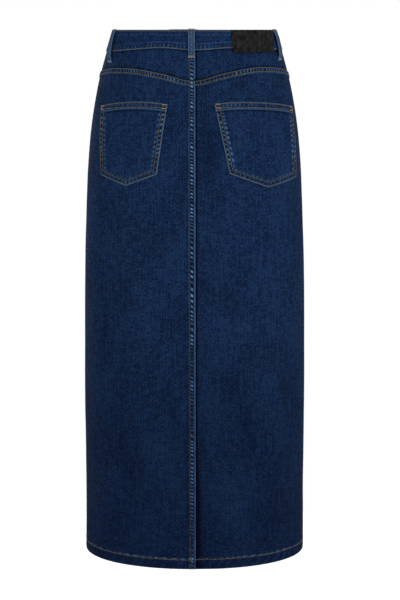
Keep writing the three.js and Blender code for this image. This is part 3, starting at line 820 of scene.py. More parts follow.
def back_centre(angle, z, direction):
    """Relief, and wear with painted shade, of the centre back seam: a felled strip on the left, a tucked edge
    with painted shadow on the right.
    """
    from_centre = direction * (arc(angle, z) - arc(CENTRE_BACK, z))
    if direction < 0:
        # Beside the left panel's fold the tucked edge gets a painted shadow, and shade adds painted shade
        # spread wider, deepest towards the hem.
        relief, wear_and_shade = tucked_edge(from_centre, 1.5, 0.95)
        shade = 0.1 * near(from_centre, 26) + 0.8 * near(from_centre, 8) * rising(-640, -760, z)
        return relief, wear_and_shade - shade, 0.0
    low = rising(-250, -600, z)
    ladder = 2.9 - 1.0 * low - 0.5 * rising(-740, -860, z)
    relief, wear_and_shade = felled_seam(from_centre, ladder_run(z), FELL_WIDTH, FELL_ROWS, 5.7, seed=21,
                               ladder=ladder, slant=0.45)
    wear_and_shade = wear_and_shade + low * (0.14 * near(from_centre - 0.6, 0.8) + 0.18 * near(from_centre - 9.2, 0.9))
    covered = 1 - rising(FELL_WIDTH - 1, FELL_WIDTH + 1, from_centre)
    return relief - fold_drop(from_centre, 0.8, 1.6), wear_and_shade, covered


def side_edge(angle, z):
    """Relief and wear beside the side seam, whose edges are pressed open inside, with painted shade in the
    groove of the seam.
    """
    from_side = np.abs(arc(SIDE_SEAM, z) - arc(np.abs(angle), z))
    ripple = ripples(-z, from_side, 11, seed=61)
    relief = -fold_drop(from_side, 1.8, 1.0) + 0.2 * near(from_side - 5, 3.5) * (ripple - 0.4)
    # The dark line on the seam itself is painted shade in its groove.
    return relief, 0.2 * near(from_side - 2.2, 1.5) * ripple - 0.6 * near(from_side, 0.9)


across_seam = back_centre(np.linspace(0.0, 4.0, 40), -300.0, 1)[0]
print("the centre back strip stands up to", round(float(across_seam.max()), 1), "mm off the panel")

# %% Painted shade and creases
# Soft patches of painted shade: angle and height of the middle, half width, half height and depth
PAINTED_SHADE_PATCHES = [
    (-8.5, -188, 12, 44, 0.32),
    (7.5, -205, 8, 50, 0.14),
    (-26, -434, 24, 26, 0.18),
    (-6, -434, 10, 30, 0.14),
    (58, -459, 8, 90, 0.15),
    (-22, -585, 20, 42, 0.18),
    (-33, -640, 20, 46, 0.16),
    (38, -730, 18, 80, 0.16),
    (21, -350, 16, 60, 0.10),
    (-47, -820, 16, 50, 0.12),
    (14, -600, 12, 90, 0.08),
    (165, -420, 20, 70, 0.12),
    (-160, -600, 22, 90, 0.12),
    (125, -640, 20, 80, 0.10),
    (-118, -300, 18, 70, 0.10),
]


def crease_shade_and_wear(angle, z):
    """Painted shade in the troughs of the folds and painted light on their ridges, partly also the rubbing of
    the ridges; soft patches of painted shade; and darker towards the hem.
    """
    patches = 0.0
    for patch_angle, patch_z, width, height, shade in PAINTED_SHADE_PATCHES:
        x = ((angle - patch_angle + 180) % 360 - 180) * MM_PER_DEGREE
        patches = patches + shade * np.exp(-((x / width) ** 2) - ((z - patch_z) / height) ** 2)
    # Darker towards the hem.
    toned = 0.3 * rising(-380, -700, z) + 0.14 * rising(-700, -880, z)
    # The fold term is painted shade in the troughs and painted light on the ridges, partly also their
    # rubbing.
    return 0.022 * fold_height(angle, z) - toned - patches


print("soft patches of painted shade:", len(PAINTED_SHADE_PATCHES))

# %% Back panels
# Radius and depth of the rounding where a panel is folded over its neighbour
PANEL_FOLD = (1.1, 1.7)
STRIP_SINK = 0.8


def under_strip(across, width):
    """How far a panel sinks below the strip that covers its felled seam."""
    return STRIP_SINK * (1 - rising(width + 1.4, width + 2.4, across))


def back_panel_outside(angle, z, direction):
    """Relief, and wear with painted shade, of a back panel: its yoke seam, centre seam, side seam, hem and
    creases.
    """
    below = yoke_seam(angle) - z
    pitch = 5.6 if direction > 0 else 6.5
    relief, wear_and_shade = felled_seam(below, arc(angle, z), YOKE_FELL_WIDTH, YOKE_ROWS_AT, pitch, seed=31,
                               ladder=1.25)
    relief = relief - fold_drop(below, *PANEL_FOLD)
    centre_relief, centre_wear_and_shade, covered = back_centre(angle, z, direction)
    hem_relief, hem_wear = hem_edge(angle, z + SKIRT_LENGTH)
    edge_relief, edge_wear_and_shade = side_edge(angle, z)
    relief = relief * (1 - 0.5 * covered) + centre_relief + hem_relief + edge_relief
    # Painted shade and light of the creases with their wear, soft patches of painted shade, and darker
    # towards the hem.
    toned = crease_shade_and_wear(angle, z) * (1 - 0.5 * covered)
    wear_and_shade = wear_and_shade * (1 - covered) + centre_wear_and_shade + hem_wear + edge_wear_and_shade + toned
    return relief, wear_and_shade


def make_back_panel(side_name, direction):
    """A back panel of cloth, sunk below the strips that cover its seams."""
    after_start = UNDER_FELL if direction > 0 else NEAR_TUCK
    angle, z = panel_grid(CENTRE_BACK, direction * SIDE_SEAM, lambda level: 0 * level, YOKE_LEVEL,
                          yoke_seam, after_start, UNDER_YOKE_FELL)
    outer, wear_and_shade = back_panel_outside(angle, z, direction)
    sink = under_strip(yoke_seam(angle) - z, YOKE_FELL_WIDTH)
    if direction > 0:
        from_centre = arc(angle, z) - arc(CENTRE_BACK, z)
        sink = np.maximum(sink, under_strip(from_centre, FELL_WIDTH))
    outer = outer - sink
    inner = np.minimum(panel_inside(z), outer - LEAST_THICK)
    node = "back_panel_" + side_name
    made = cloth_shell(node + "_cloth", angle, z, outer, inner, wear_and_shade)
    finish_cloth(made, node, body_denim, angle, z)


make_back_panel("left", 1)
make_back_panel("right", -1)

# %% [markdown]
# ## The felled strips of the back
# The strip of the centre back seam runs from the yoke seam to the hem, and one strip on each side follows
# the yoke seam. They could be part of the panels, but a ladder of ripples needs a point every millimetre
# and the plain cloth beside it does not. Each strip asks the panel's own function where it lies.

# %% Felled strips of the back
STRIP_THICK = 1.1
CENTRE_STRIP_ROWS = 690
YOKE_STRIP_COLUMNS = 225
# The yoke's strips start beside the centre strip on the left, and under its fold on the right
YOKE_STRIP_START = {"left": 12.6, "right": -3.0}
NEAR_FELL = np.array([0, 0.2, 0.5, 0.9, 1.6, 2.4, 3.3, 4.3, 5.3, 6.3, 7.3, 8.2, 9.0, 9.8, 10.6, 11.4, 12.4,
                      14.0])
NEAR_YOKE = np.array([0, 0.2, 0.5, 0.9, 1.6, 2.4, 3.3, 4.3, 5.3, 6.2, 7.0, 7.8, 8.6, 9.4, 10.4, 12.0])


def make_strip(name, angle, z, across, width, outside):
    """The felled strip of a seam on its own fine grid, its far edge dipped into the panel."""
    outer, wear_and_shade = outside(angle, z)
    outer = outer - 0.6 * rising(width + 2.5, width + 3.4, across)
    made = cloth_shell(name, angle, z, outer, outer - STRIP_THICK, wear_and_shade)
    finish_cloth(made, None, body_denim, angle, z)


def make_centre_strip():
    """The felled strip of the centre back seam, from the yoke to the hem."""
    across = NEAR_FELL[None, :]
    level = stations(YOKE_LEVEL, -SKIRT_LENGTH, NEAR_YOKE, NEAR_HEM, CENTRE_STRIP_ROWS)[:, None]
    angle = angle_at(arc(CENTRE_BACK, level) + across, level)
    share = np.clip((level + SKIRT_LENGTH) / (SKIRT_LENGTH + YOKE_LEVEL), 0, 1)
    z = level + (yoke_seam(angle) - YOKE_LEVEL) * share
    across = np.broadcast_to(across, z.shape)
    make_strip("centre_back_fell", angle, z, across, FELL_WIDTH, lambda a, h: back_panel_outside(a, h, 1))


def make_yoke_strip(side_name, direction):
    """The felled strip of one side of the yoke seam."""
    width = abs(float(arc(SIDE_SEAM, YOKE_LEVEL) - arc(CENTRE_BACK, YOKE_LEVEL)))
    start = YOKE_STRIP_START[side_name]
    from_centre = stations(start, width, NEAR_EDGE, NEAR_EDGE, YOKE_STRIP_COLUMNS)[None, :]
    angle = angle_at(arc(CENTRE_BACK, YOKE_LEVEL) + direction * from_centre, YOKE_LEVEL)
    angle, below = np.broadcast_arrays(angle, NEAR_YOKE[:, None])
    make_strip("yoke_fell_" + side_name, angle, yoke_seam(angle) - below, below, YOKE_FELL_WIDTH,
               lambda a, h: back_panel_outside(a, h, direction))


make_centre_strip()
make_yoke_strip("left", 1)
make_yoke_strip("right", -1)

# %% [markdown]
# ## The front panels and the fly
# The front is not in the photograph, so it is finished plainly: two panels and a centre front seam, with
# the fly above it. There the wearer's left panel is folded back on itself and laps over the right one, and
# the zip hides behind it. The lap and the lift fade out below the end of the fly.

# %% Fly and centre front seam
FLY_BOTTOM = -200.0
FLY_LAP = 5.0
FLY_LIFT = 1.9
# Distances of the two curved rows of the fly from the centre front
FLY_ROWS = (30.0, 36.0)


def from_front_centre(angle, z, direction):
    """Distance from the centre front, towards the side seam of a panel."""
    return direction * (arc(direction * CENTRE_FRONT, z) - arc(angle, z))


def fly_lap(z):
    """How far the left panel laps over the centre front."""
    return FLY_LAP * rising(FLY_BOTTOM - 14, FLY_BOTTOM + 10, z)


def fly_lift(z):
    """One at the height of the fly, falling to zero below it."""
    return rising(FLY_BOTTOM - 24, FLY_BOTTOM - 10, z)


def fly_facing(from_centre):
    """One over the folded facing of the fly, falling to zero beyond it."""
    return 1 - rising(14, 26, from_centre)


def band_shadow(angle, z):
    """Painted shadow just under the waistband, as negative wear."""
    below = waist_seam(angle) - z
    return -0.8 * near(below, 2.4)


def front_panel_outside(angle, z, direction):
    """Relief, and wear with painted shade, of a front panel: its centre seam, fly, side seam, hem and
    creases.
    """
    from_centre = from_front_centre(angle, z, direction)
    if direction > 0:
        lift = fly_lift(z)
        from_fold = from_centre + fly_lap(z)
        seam_relief, seam_wear_and_shade = felled_seam(from_fold, -z, FELL_WIDTH, FELL_ROWS, 6.4, seed=71,
                                             ladder=2.0)
        fly_relief = FLY_LIFT * fly_facing(from_centre) + 0.25 * near(from_centre - FLY_ROWS[1], 4)
        relief = seam_relief * (1 - 0.75 * lift) + fly_relief * lift - fold_drop(from_fold, *PANEL_FOLD)
        wear_and_shade = seam_wear_and_shade * (1 - 0.55 * lift)
    else:
        # Painted shadow beside the fold of the left panel, where the right one slips under it.
        relief, wear_and_shade = tucked_edge(from_centre, 1.5, 0.9)
    hem_relief, hem_wear = hem_edge(angle, z + SKIRT_LENGTH)
    edge_relief, edge_wear_and_shade = side_edge(angle, z)
    wear_and_shade = wear_and_shade + hem_wear + edge_wear_and_shade + crease_shade_and_wear(angle, z) + band_shadow(angle, z)
    return relief + hem_relief + edge_relief, wear_and_shade


print("fly: laps", FLY_LAP, "mm over the right panel and ends", -FLY_BOTTOM, "mm below the waist")

# %% Front panels
TUCK_IN = 3.0
WAIST_LEVEL = -34.0
AFTER_WAIST = np.array([0, 1.5, 3.0, 4.0, 5.2, 6.8, 9.0])


def make_front_panel(side_name, direction):
    """A front panel of cloth; the left one laps over the right one at the fly."""
    start = (lambda level: -fly_lap(level)) if direction > 0 else (lambda level: 0 * level)
    after_start = UNDER_FELL if direction > 0 else NEAR_TUCK
    angle, z = panel_grid(direction * CENTRE_FRONT, direction * SIDE_SEAM, start, WAIST_LEVEL + TUCK_IN,
                          lambda a: waist_seam(a) + TUCK_IN, after_start, AFTER_WAIST)
    outer, wear_and_shade = front_panel_outside(angle, z, direction)
    lifted = 0.0
    if direction > 0:
        from_centre = from_front_centre(angle, z, direction)
        outer = outer - under_strip(from_centre + fly_lap(z), FELL_WIDTH)
        lifted = FLY_LIFT * fly_lift(z) * fly_facing(from_centre)
    inner = np.minimum(panel_inside(z) + lifted, outer - LEAST_THICK)
    node = "front_panel_" + side_name
    made = cloth_shell(node + "_cloth", angle, z, outer, inner, wear_and_shade)
    finish_cloth(made, node, body_denim, angle, z)


def make_front_strip():
    """The felled strip of the centre front, which follows the edge of the fly."""
    level = stations(WAIST_LEVEL + TUCK_IN, -SKIRT_LENGTH, AFTER_WAIST, NEAR_HEM, CENTRE_STRIP_ROWS)[:, None]
    level, across = np.broadcast_arrays(level, NEAR_FELL)
    angle = angle_at(arc(CENTRE_FRONT, level) + fly_lap(level) - across, level)
    make_strip("centre_front_fell", angle, level, across, FELL_WIDTH,
               lambda a, h: front_panel_outside(a, h, 1))


make_front_panel("left", 1)
make_front_panel("right", -1)
make_front_strip()

# %% [markdown]
# ## The back yoke
# The yoke is the shaped piece between the waistband and the back panels. Its lower edge slips under the
# folded top of the panels and its upper edge goes up into the waistband. The felled strip of the centre
# back seam runs on through it, so it uses the same function as the panels.

# %% Back yokes
YOKE_ROWS = 34
YOKE_COLUMNS = 64


def yoke_outside(angle, z, direction):
    """Relief, and wear with painted shadow, of a yoke: its centre seam, tucked lower edge, side seam and
    waist seam.
    """
    relief, wear_and_shade = back_centre(angle, z, direction)[:2]
    # Painted shadow under the folded tops of the back panels.
    tuck_relief, tuck_shadow = tucked_edge(z - yoke_seam(angle), 1.5, 0.55)
    edge_relief, edge_wear_and_shade = side_edge(angle, z)
    relief = relief + tuck_relief + edge_relief
    return relief, wear_and_shade + tuck_shadow + edge_wear_and_shade + band_shadow(angle, z)


def make_yoke(side_name, direction):
    """One side of the back yoke."""
    after_start = NEAR_FELL if direction > 0 else NEAR_TUCK
    middle = (WAIST_LEVEL + YOKE_LEVEL) / 2
    width = direction * (arc(direction * SIDE_SEAM, middle) - arc(CENTRE_BACK, middle))
    from_centre = stations(0.0, width, after_start, NEAR_EDGE, YOKE_COLUMNS)
    angle = angle_at(arc(CENTRE_BACK, middle) + direction * from_centre, middle)
    z = stations(waist_seam(angle) + TUCK_IN, yoke_seam(angle), AFTER_WAIST, NEAR_TUCK, YOKE_ROWS).T
    angle = np.broadcast_to(angle, z.shape)
    outer, wear_and_shade = yoke_outside(angle, z, direction)
    node = "back_yoke_" + side_name
    inner = np.minimum(-CLOTH, outer - LEAST_THICK)
    made = cloth_shell(node + "_cloth", angle, z, outer, inner, wear_and_shade)
    finish_cloth(made, node, upper_denim, angle, z)


make_yoke("left", 1)
make_yoke("right", -1)

# %% [markdown]
# ## The waistband
# The waistband is a long straight strip folded double over the top edges of the body. It is cut across
# the others, so its warp runs round the waist and its streaks lie level. At the front its top end climbs
# over the covered end, and a buttonhole is cut through it with a Boolean modifier, whose result is kept
# as the mesh.

# %% Waistband relief
BAND_OUT = 1.3
BAND_IN = -1.5
BAND_LIFT = 3.6
UNDER_LAP = 34.0
# Distances of the two rows of stitches from the top and the bottom edge
BAND_ROW = 1.7
BAND_FOOT_ROW = 1.1
# Radius and depth of the rounding of the band's edges
BAND_FOLD = (1.3, 1.2)


def band_lift(angle):
    """How far the top end of the band is lifted over the covered one."""
    past = arc(angle, WAIST_LEVEL) - arc(CENTRE_FRONT, WAIST_LEVEL)
    return BAND_LIFT * rising(-UNDER_LAP - 14, -UNDER_LAP - 3, past)


def band_outside(angle, z):
    """Outside and wear of the waistband, from the distances to its top and bottom edge."""
    below, above = -z, z - waist_seam(angle)
    along = arc(angle, WAIST_LEVEL)
    low = ripples(along, above, 7.3, seed=81)
    high = ripples(along, below, 8.6, seed=85)
    rows = near(below - BAND_ROW, 0.8) + near(above - BAND_FOOT_ROW, 0.8)
    relief = 0.5 * near(above - 5.6, 3.4) * (low - 0.4) + 0.35 * near(below - 7, 3.8) * (high - 0.4)
    relief = relief - 0.3 * rows - fold_drop(below, *BAND_FOLD) - fold_drop(above, *BAND_FOLD)
    streaks = 0.13 * near(below - 2.9, 1.0) + 0.1 * near(below - 8.4, 1.8) * (0.4 + high)
    streaks = streaks - 0.14 * near(below - 4.9, 1.3) - 0.15 * near(below - 11.2, 1.4)
    streaks = streaks + 0.15 * near(above - 9.8, 1.5) * (0.4 + low)
    streaks = streaks - 0.2 * near(above - 12.4, 1.2) - 0.16 * near(above - 7.3, 0.9)
    ladder = 0.75 * near(above - 4.6, 1.9) * (low - 0.62)
    edge_line = near(above - 0.3, 0.9) * (0.3 + 0.2 * ripples(along, above, 4.2, 83))
    return BAND_OUT + relief + band_lift(angle), streaks + ladder + edge_line - 0.3 * near(below, 0.8)


print("waistband:", round(BAND_OUT - BAND_IN, 1), "mm thick, lifted", BAND_LIFT, "mm at its top end")

# %% Waistband
OVER_LAP = 5.0
BAND_ROWS = 12
BAND_COLUMNS = 620
NEAR_BAND = np.array([0, 0.25, 0.7, 1.4, 2.2, 3.0, 4.0])


def make_waistband():
    """The waistband, from its covered end to its top end."""
    start = arc(-CENTRE_FRONT, WAIST_LEVEL) - UNDER_LAP
    end = arc(CENTRE_FRONT, WAIST_LEVEL) + OVER_LAP
    along = stations(start, end, NEAR_EDGE, NEAR_EDGE, BAND_COLUMNS)
    angle = angle_at(along, WAIST_LEVEL)
    z = stations(0.0, waist_seam(angle), NEAR_BAND, NEAR_BAND, BAND_ROWS).T
    angle = np.broadcast_to(angle, z.shape)
    outer, wear_and_shade = band_outside(angle, z)
    ends = fold_drop(along - start, *BAND_FOLD) + fold_drop(end - along, *BAND_FOLD)
    inner = BAND_IN + band_lift(angle)
    made = cloth_shell("waistband_cloth", angle, z, outer - ends, inner, wear_and_shade, turned=True)
    finish_cloth(made, "waistband", band_denim, angle, z)
    return made


band_denim = denim_outside("denim_band", lighter(WARP_BLUE, 1.2), lighter(WARP_LIGHT, 1.15))
waistband = make_waistband()

# %% Buttonhole
BUTTON_FROM_CENTRE = 10.0
BUTTON_Z = -17.0
HOLE_LENGTH = 17.0
HOLE_WIDTH = 4.6
HOLE_FROM_CENTRE = BUTTON_FROM_CENTRE - 2.8 + HOLE_LENGTH / 2
# How far from the cloth the cut starts and ends
HOLE_DEPTH = (1.7, 7.0)


def front_frame(from_centre, z):
    """A place left of the centre front: its point, and the directions across, up and out of the cloth."""
    angle = angle_at(arc(CENTRE_FRONT, z) - from_centre, z)
    point, normal = ring_point(angle, z), cloth_normal(angle, z)
    across = np.cross((0.0, 0.0, 1.0), normal)
    across /= np.linalg.norm(across)
    return point + normal * body_relief(angle, z), across, np.cross(normal, across), normal


def slot_outline(length, width, steps=10):
    """The outline of a slot with round ends."""
    turn = np.linspace(-np.pi / 2, np.pi / 2, steps)
    end = np.stack([np.cos(turn), np.sin(turn)], -1) * width / 2
    shift = np.array([(length - width) / 2, 0.0])
    return np.concatenate([end + shift, -end - shift])


def cut_slot(piece, from_centre, z, length, width, depth):
    """Cuts a slot through a piece and keeps the result as its mesh."""
    point, across, up, normal = front_frame(from_centre, z)
    outline = slot_outline(length, width)
    flat = point + outline[:, :1] * across + outline[:, 1:] * up
    count = len(outline)
    points = np.concatenate([flat + normal * depth[0], flat + normal * depth[1]])
    ahead = (np.arange(count) + 1) % count
    sides = [(i, ahead[i], ahead[i] + count, i + count) for i in range(count)]
    mesh = bpy.data.meshes.new("slot_cutter")
    ends = [list(range(count))[::-1], list(range(count, 2 * count))]
    mesh.from_pydata((points * MM).tolist(), [], [*sides, *ends])
    cutter = add_object("slot_cutter", mesh)
    cut = piece.modifiers.new("buttonhole", "BOOLEAN")
    cut.operation, cut.solver, cut.object = "DIFFERENCE", "EXACT", cutter
    seen = piece.evaluated_get(bpy.context.evaluated_depsgraph_get())
    piece.data = bpy.data.meshes.new_from_object(seen)
    piece.modifiers.remove(cut)
    bpy.data.objects.remove(cutter)


faces_before = len(waistband.data.polygons)
cut_slot(waistband, HOLE_FROM_CENTRE, BUTTON_Z, HOLE_LENGTH, HOLE_WIDTH, HOLE_DEPTH)
print("buttonhole: from", faces_before, "to", len(waistband.data.polygons), "faces")

# %% [markdown]
# ## The belt loops
# A loop is a narrow strip with both its long edges folded in and two rows of stitches. It is tacked down
# below the waistband and at its top edge, and stands off the band between, so a path of height and
# distance from the cloth describes its side view.

# %% Shape of a belt loop
LOOP_WIDTH = 11.2
LOOP_THICK = 1.8
LOOP_ROW = 3.2
# How far up the loop a place is, and how far its underside is off the cloth there
LOOP_PATH = Table(
    ("up", "off"),
    [(0, 0.35), (0.055, 0.4), (0.11, 1.9), (0.16, 3.4), (0.26, 4.2), (0.41, 4.6), (0.6, 4.6), (0.75, 4.3),
     (0.85, 3.4), (0.905, 2.2), (0.94, 1.65), (1, 1.65)],
)
# Angle and height of both ends, and how thick the seam under the bottom end is
LOOPS = {
    "belt_loop_centre_back": dict(bottom=(2.4, -45.0), top=(2.5, 1.4), base=1.2),
    "belt_loop_back_left": dict(bottom=(70.2, -53.5), top=(74.8, 0.4), base=0.0),
    "belt_loop_back_right": dict(bottom=(-72.3, -50.0), top=(-75.2, 0.4), base=0.0),
    "belt_loop_front_left": dict(bottom=(138.0, -50.0), top=(137.0, -0.6), base=0.0),
    "belt_loop_front_right": dict(bottom=(-138.0, -50.0), top=(-137.0, -0.6), base=0.0),
}


def loop_place(loop, across, up):
    """Angle and height of a place on a loop, from its distance to the middle and how far up it is."""
    (low_angle, low), (high_angle, high) = loop["bottom"], loop["top"]
    z = low + (high - low) * np.asarray(up, float)
    return angle_at(arc(low_angle + (high_angle - low_angle) * up, z) + across, z), z


def loop_outside(loop, across, up, seed):
    """The underside, the outside, and the wear with painted shade, of a loop."""
    angle, z = loop_place(loop, across, up)
    off = LOOP_PATH.at("off", up)
    under = np.where(z < waist_seam(angle) - 2, np.maximum(off, loop["base"] + 0.35), off)
    edge = LOOP_WIDTH / 2 - np.abs(across)
    from_end = np.minimum(z - loop["bottom"][1], loop["top"][1] - z)
    ripple = ripples(z, across, 6.0, seed=seed)
    relief = LOOP_THICK - fold_drop(edge, 1.2, 1.1) - 0.3 * near(edge - LOOP_ROW, 0.7)
    relief = relief + 0.2 * near(across, 1.8) * ripple - fold_drop(from_end, 1.1, 1.2)
    wear_and_shade = 0.16 + 0.24 * near(across, 1.5) * (ripple + 0.2) + 0.3 * near(edge - 0.8, 0.9)
    # The darkening at the stitch rows is painted shade in their grooves.
    return under, under + relief, wear_and_shade - 0.4 * near(edge - LOOP_ROW, 0.6) + 0.6 * near(from_end - 0.6, 0.8)


print("a belt loop stands up to", float(LOOP_PATH.at("off", 0.5)), "mm off the cloth")

# %% Belt loops
LOOP_SEED = 101
NEAR_LOOP = np.array([0, 0.2, 0.6, 1.2, 1.9, 2.6, 3.4])


def make_loop(name, loop, seed):
    """A belt loop of cloth along its path."""
    height = loop["top"][1] - loop["bottom"][1]
    across = stations(-LOOP_WIDTH / 2, LOOP_WIDTH / 2, NEAR_LOOP, NEAR_LOOP, 5)
    up = stations(height, 0.0, NEAR_EDGE, NEAR_EDGE, 50) / height
    across, up = np.meshgrid(across, up)
    angle, z = loop_place(loop, across, up)
    under, outer, wear_and_shade = loop_outside(loop, across, up, seed)
    made = cloth_shell(name + "_cloth", angle, z, outer, under, wear_and_shade)
    finish_cloth(made, name, band_denim, angle, z)


for number, (name, loop) in enumerate(LOOPS.items()):
    make_loop(name, loop, LOOP_SEED + number)

# %% [markdown]
# ## The pockets
# A patch pocket is described by its corners on the cloth, with an arch at the top and a point at the foot.
# Places on it are shares across and down, so the same function serves both pockets. Its folded edges make a
# raised rim, and the hem at its top is thicker still.

# %% Places on a pocket
# Corners as angle and height, the place and depth of the point, the height of the arch, how strongly a
# second ladder has worn beside the rim, and the seed of the ripples
POCKETS = {
    "back_pocket_left": dict(
        top=((19.0, -118.2), (67.9, -122.7)), foot=((23.6, -229.1), (60.6, -233.3)),
        point_share=0.52, point_drop=17.5, arch=6.0, steps=0.5, seed=121,
    ),
    "back_pocket_right": dict(
        top=((-14.5, -117.1), (-73.9, -124.4)), foot=((-22.4, -227.9), (-69.5, -238.3)),
        point_share=0.5, point_drop=18.5, arch=5.5, steps=0.85, seed=125,
    ),
}


def pocket_place(shape, share, down):
    """Angle and height of a place on a pocket, from its shares across and down."""
    (inner_angle, inner_top), (outer_angle, outer_top) = shape["top"]
    (inner_low, inner_foot), (outer_low, outer_foot) = shape["foot"]
    middle = shape["point_share"]
    point = np.where(share < middle, share / middle, (1 - share) / (1 - middle))
    high = inner_top + (outer_top - inner_top) * share + shape["arch"] * 4 * share * (1 - share)
    low = inner_foot + (outer_foot - inner_foot) * share - shape["point_drop"] * point
    inner = inner_angle + (inner_low - inner_angle) * down
    outer = outer_angle + (outer_low - outer_angle) * down
    return inner + (outer - inner) * share, high + (low - high) * down


def pocket_width(shape, down):
    """Width of a pocket at a share of its height."""
    return np.abs(arc(*pocket_place(shape, 1.0, down)) - arc(*pocket_place(shape, 0.0, down)))


print("pocket widths:", [round(float(pocket_width(shape, 0.5))) for shape in POCKETS.values()], "mm")

# %% Pocket relief
POCKET_HEM = 12.0
POCKET_RIM = 9.6
# The foot's edge slants, so its distance is a little less than the height above it
FOOT_SLANT = 0.95
# Distances of the rows of stitches from the folded edges and from the mouth
POCKET_ROWS = (1.7, 7.9)
POCKET_HEM_ROWS = (1.8, 7.8)


def pocket_outside(shape, share, down):
    """Relief, and wear with painted shade, of a pocket, from the distances to its edges."""
    angle, z = pocket_place(shape, share, down)
    x = arc(angle, z)
    from_top = pocket_place(shape, share, 0.0)[1] - z
    from_foot = FOOT_SLANT * (z - pocket_place(shape, share, 1.0)[1])
    from_side = np.minimum(share, 1 - share) * pocket_width(shape, down)
    rim = np.minimum(from_side, from_foot)
    along = np.where(from_side < from_foot, z, x)
    ladder = ripples(along, rim, 7.2, shape["seed"])
    steps = ripples(along, rim, 7.9, shape["seed"] + 1)
    hem_ladder = ripples(x, from_top, 6.8, shape["seed"] + 2)
    raised = 0.75 * (1 - rising(POCKET_RIM - 0.8, POCKET_RIM + 0.8, rim))
    hem = 0.9 * (1 - rising(POCKET_HEM - 0.8, POCKET_HEM + 0.6, from_top))
    rows = sum(near(rim - row, 0.7) for row in POCKET_ROWS)
    rows = rows + sum(near(from_top - row, 0.7) for row in POCKET_HEM_ROWS)
    drop = fold_drop(rim, 0.9, 1.0) + fold_drop(from_top, 0.9, 1.0)
    relief = CLOTH + np.maximum(raised, hem) - 0.22 * rows - drop
    relief = relief + 0.35 * near(rim - 4.8, 1.8) * (ladder - 0.4)
    relief = relief + 0.3 * near(from_top - 4.8, 2) * (hem_ladder - 0.4)
    in_hem = 1 - rising(POCKET_HEM - 1, POCKET_HEM + 2, from_top)
    at_side = rising(-3.0, 5.0, from_foot - from_side)
    rim_wear = (0.8 + 0.9 * at_side) * near(rim - 4.8, 1.5) * (ladder - 0.5)
    strength = shape["steps"] * (0.5 + 0.5 * at_side)
    rim_wear = rim_wear + strength * near(rim - 9.9 - 1.9 * at_side, 1.5 + 0.3 * at_side) * (steps - 0.15)
    hem_wear = 0.5 * near(from_top - 4.8, 1.9) * (hem_ladder - 0.4) + 0.26 * near(from_top - 11.0, 1.5)
    # The dark line below the hem band is painted shadow, and the darkening at the rows is painted shade in
    # the stitch grooves.
    wear_and_shade = rim_wear * (1 - 0.8 * in_hem) + hem_wear - 0.7 * near(from_top - 13.8, 1.2)
    return relief, wear_and_shade + 0.6 * near(rim - 0.5, 0.9) + 0.5 * near(from_top - 0.5, 0.9) - 0.55 * rows


print("pockets: a rim", POCKET_RIM, "mm wide and a hem of", POCKET_HEM, "mm")

# %% Pockets
POCKET_GAP = 0.35
NEAR_POCKET = np.array([0, 0.2, 0.6, 1.2, 1.9, 2.7, 3.6, 4.5, 5.4, 6.3, 7.2, 8.0, 8.8, 9.6, 10.6])
NEAR_POCKET_HEM = np.array([0, 0.2, 0.6, 1.2, 1.9, 2.7, 3.6, 4.5, 5.4, 6.3, 7.2, 8.2, 9.2, 10.2, 11.2, 12.0,
                            12.8, 14.0])


def make_pocket(name, shape):
    """A patch pocket of cloth over the back panel."""
    width, height = float(pocket_width(shape, 0.5)), 120.0
    share = stations(0.0, width, NEAR_POCKET, NEAR_POCKET, 84) / width
    down = stations(0.0, height, NEAR_POCKET_HEM, NEAR_POCKET, 72) / height
    share, down = np.meshgrid(share, down)
    angle, z = pocket_place(shape, share, down)
    relief, wear_and_shade = pocket_outside(shape, share, down)
    made = cloth_shell(name + "_cloth", angle, z, POCKET_GAP + relief, np.full(z.shape, POCKET_GAP), wear_and_shade)
    finish_cloth(made, name, upper_denim, angle, z)


for name, shape in POCKETS.items():
    make_pocket(name, shape)

# %% [markdown]
# ## The leather patch
# The patch is a bare piece of black leather. A node group makes its grain from small cells with finer
# noise over them, and its lower edge waves slightly, as leather does after washing.

# %% Leather
LEATHER_DEEP = (0.0015, 0.0015, 0.0016, 1)
LEATHER_PALE = (0.0112, 0.0110, 0.0110, 1)

leather_grain, given, result = shader_group(
    "leather_grain", [("Place", "Vector", None)], [("Height", "Float"), ("Shade", "Float")]
)
cells = put(leather_grain, "TexVoronoi", {"Vector": given["Place"], "Scale": 900.0},
            feature="DISTANCE_TO_EDGE")
fine = grain(leather_grain, given["Place"], (1500, 1500))
leather_grain.links.new(calc(leather_grain, "MULTIPLY_ADD", fine, 0.4, cells.outputs[0]), result["Height"])
patches = grain(leather_grain, given["Place"], (150, 110), detail=4.0)
mottle = calc(leather_grain, "MULTIPLY_ADD", patches, 3.0, -1.0)
leather_grain.links.new(clamped(leather_grain, mottle), result["Shade"])


def leather_material():
    """Black leather, mottled and finely grained."""
    made, tree, shader = new_material("black_leather", roughness=0.75, specular=0.06)
    texture = use_group(tree, leather_grain, {"Place": cloth_place(tree)})
    color = blend(tree, texture["Shade"], LEATHER_DEEP, LEATHER_PALE)
    tree.links.new(color, shader.inputs["Base Color"])
    add_bump(tree, shader, 0.5, 0.0002, texture["Height"])
    return made


print("leather grain:", len(leather_grain.nodes), "nodes")

# %% Leather patch
PATCH_THICK = 1.5
# Angles of its inner and outer edge, and heights of its top and foot
PATCH_INNER = -32.0
PATCH_OUTER_TOP = -71.3
PATCH_OUTER_FOOT = -66.4
PATCH_TOP = -0.9
PATCH_FOOT = -36.6


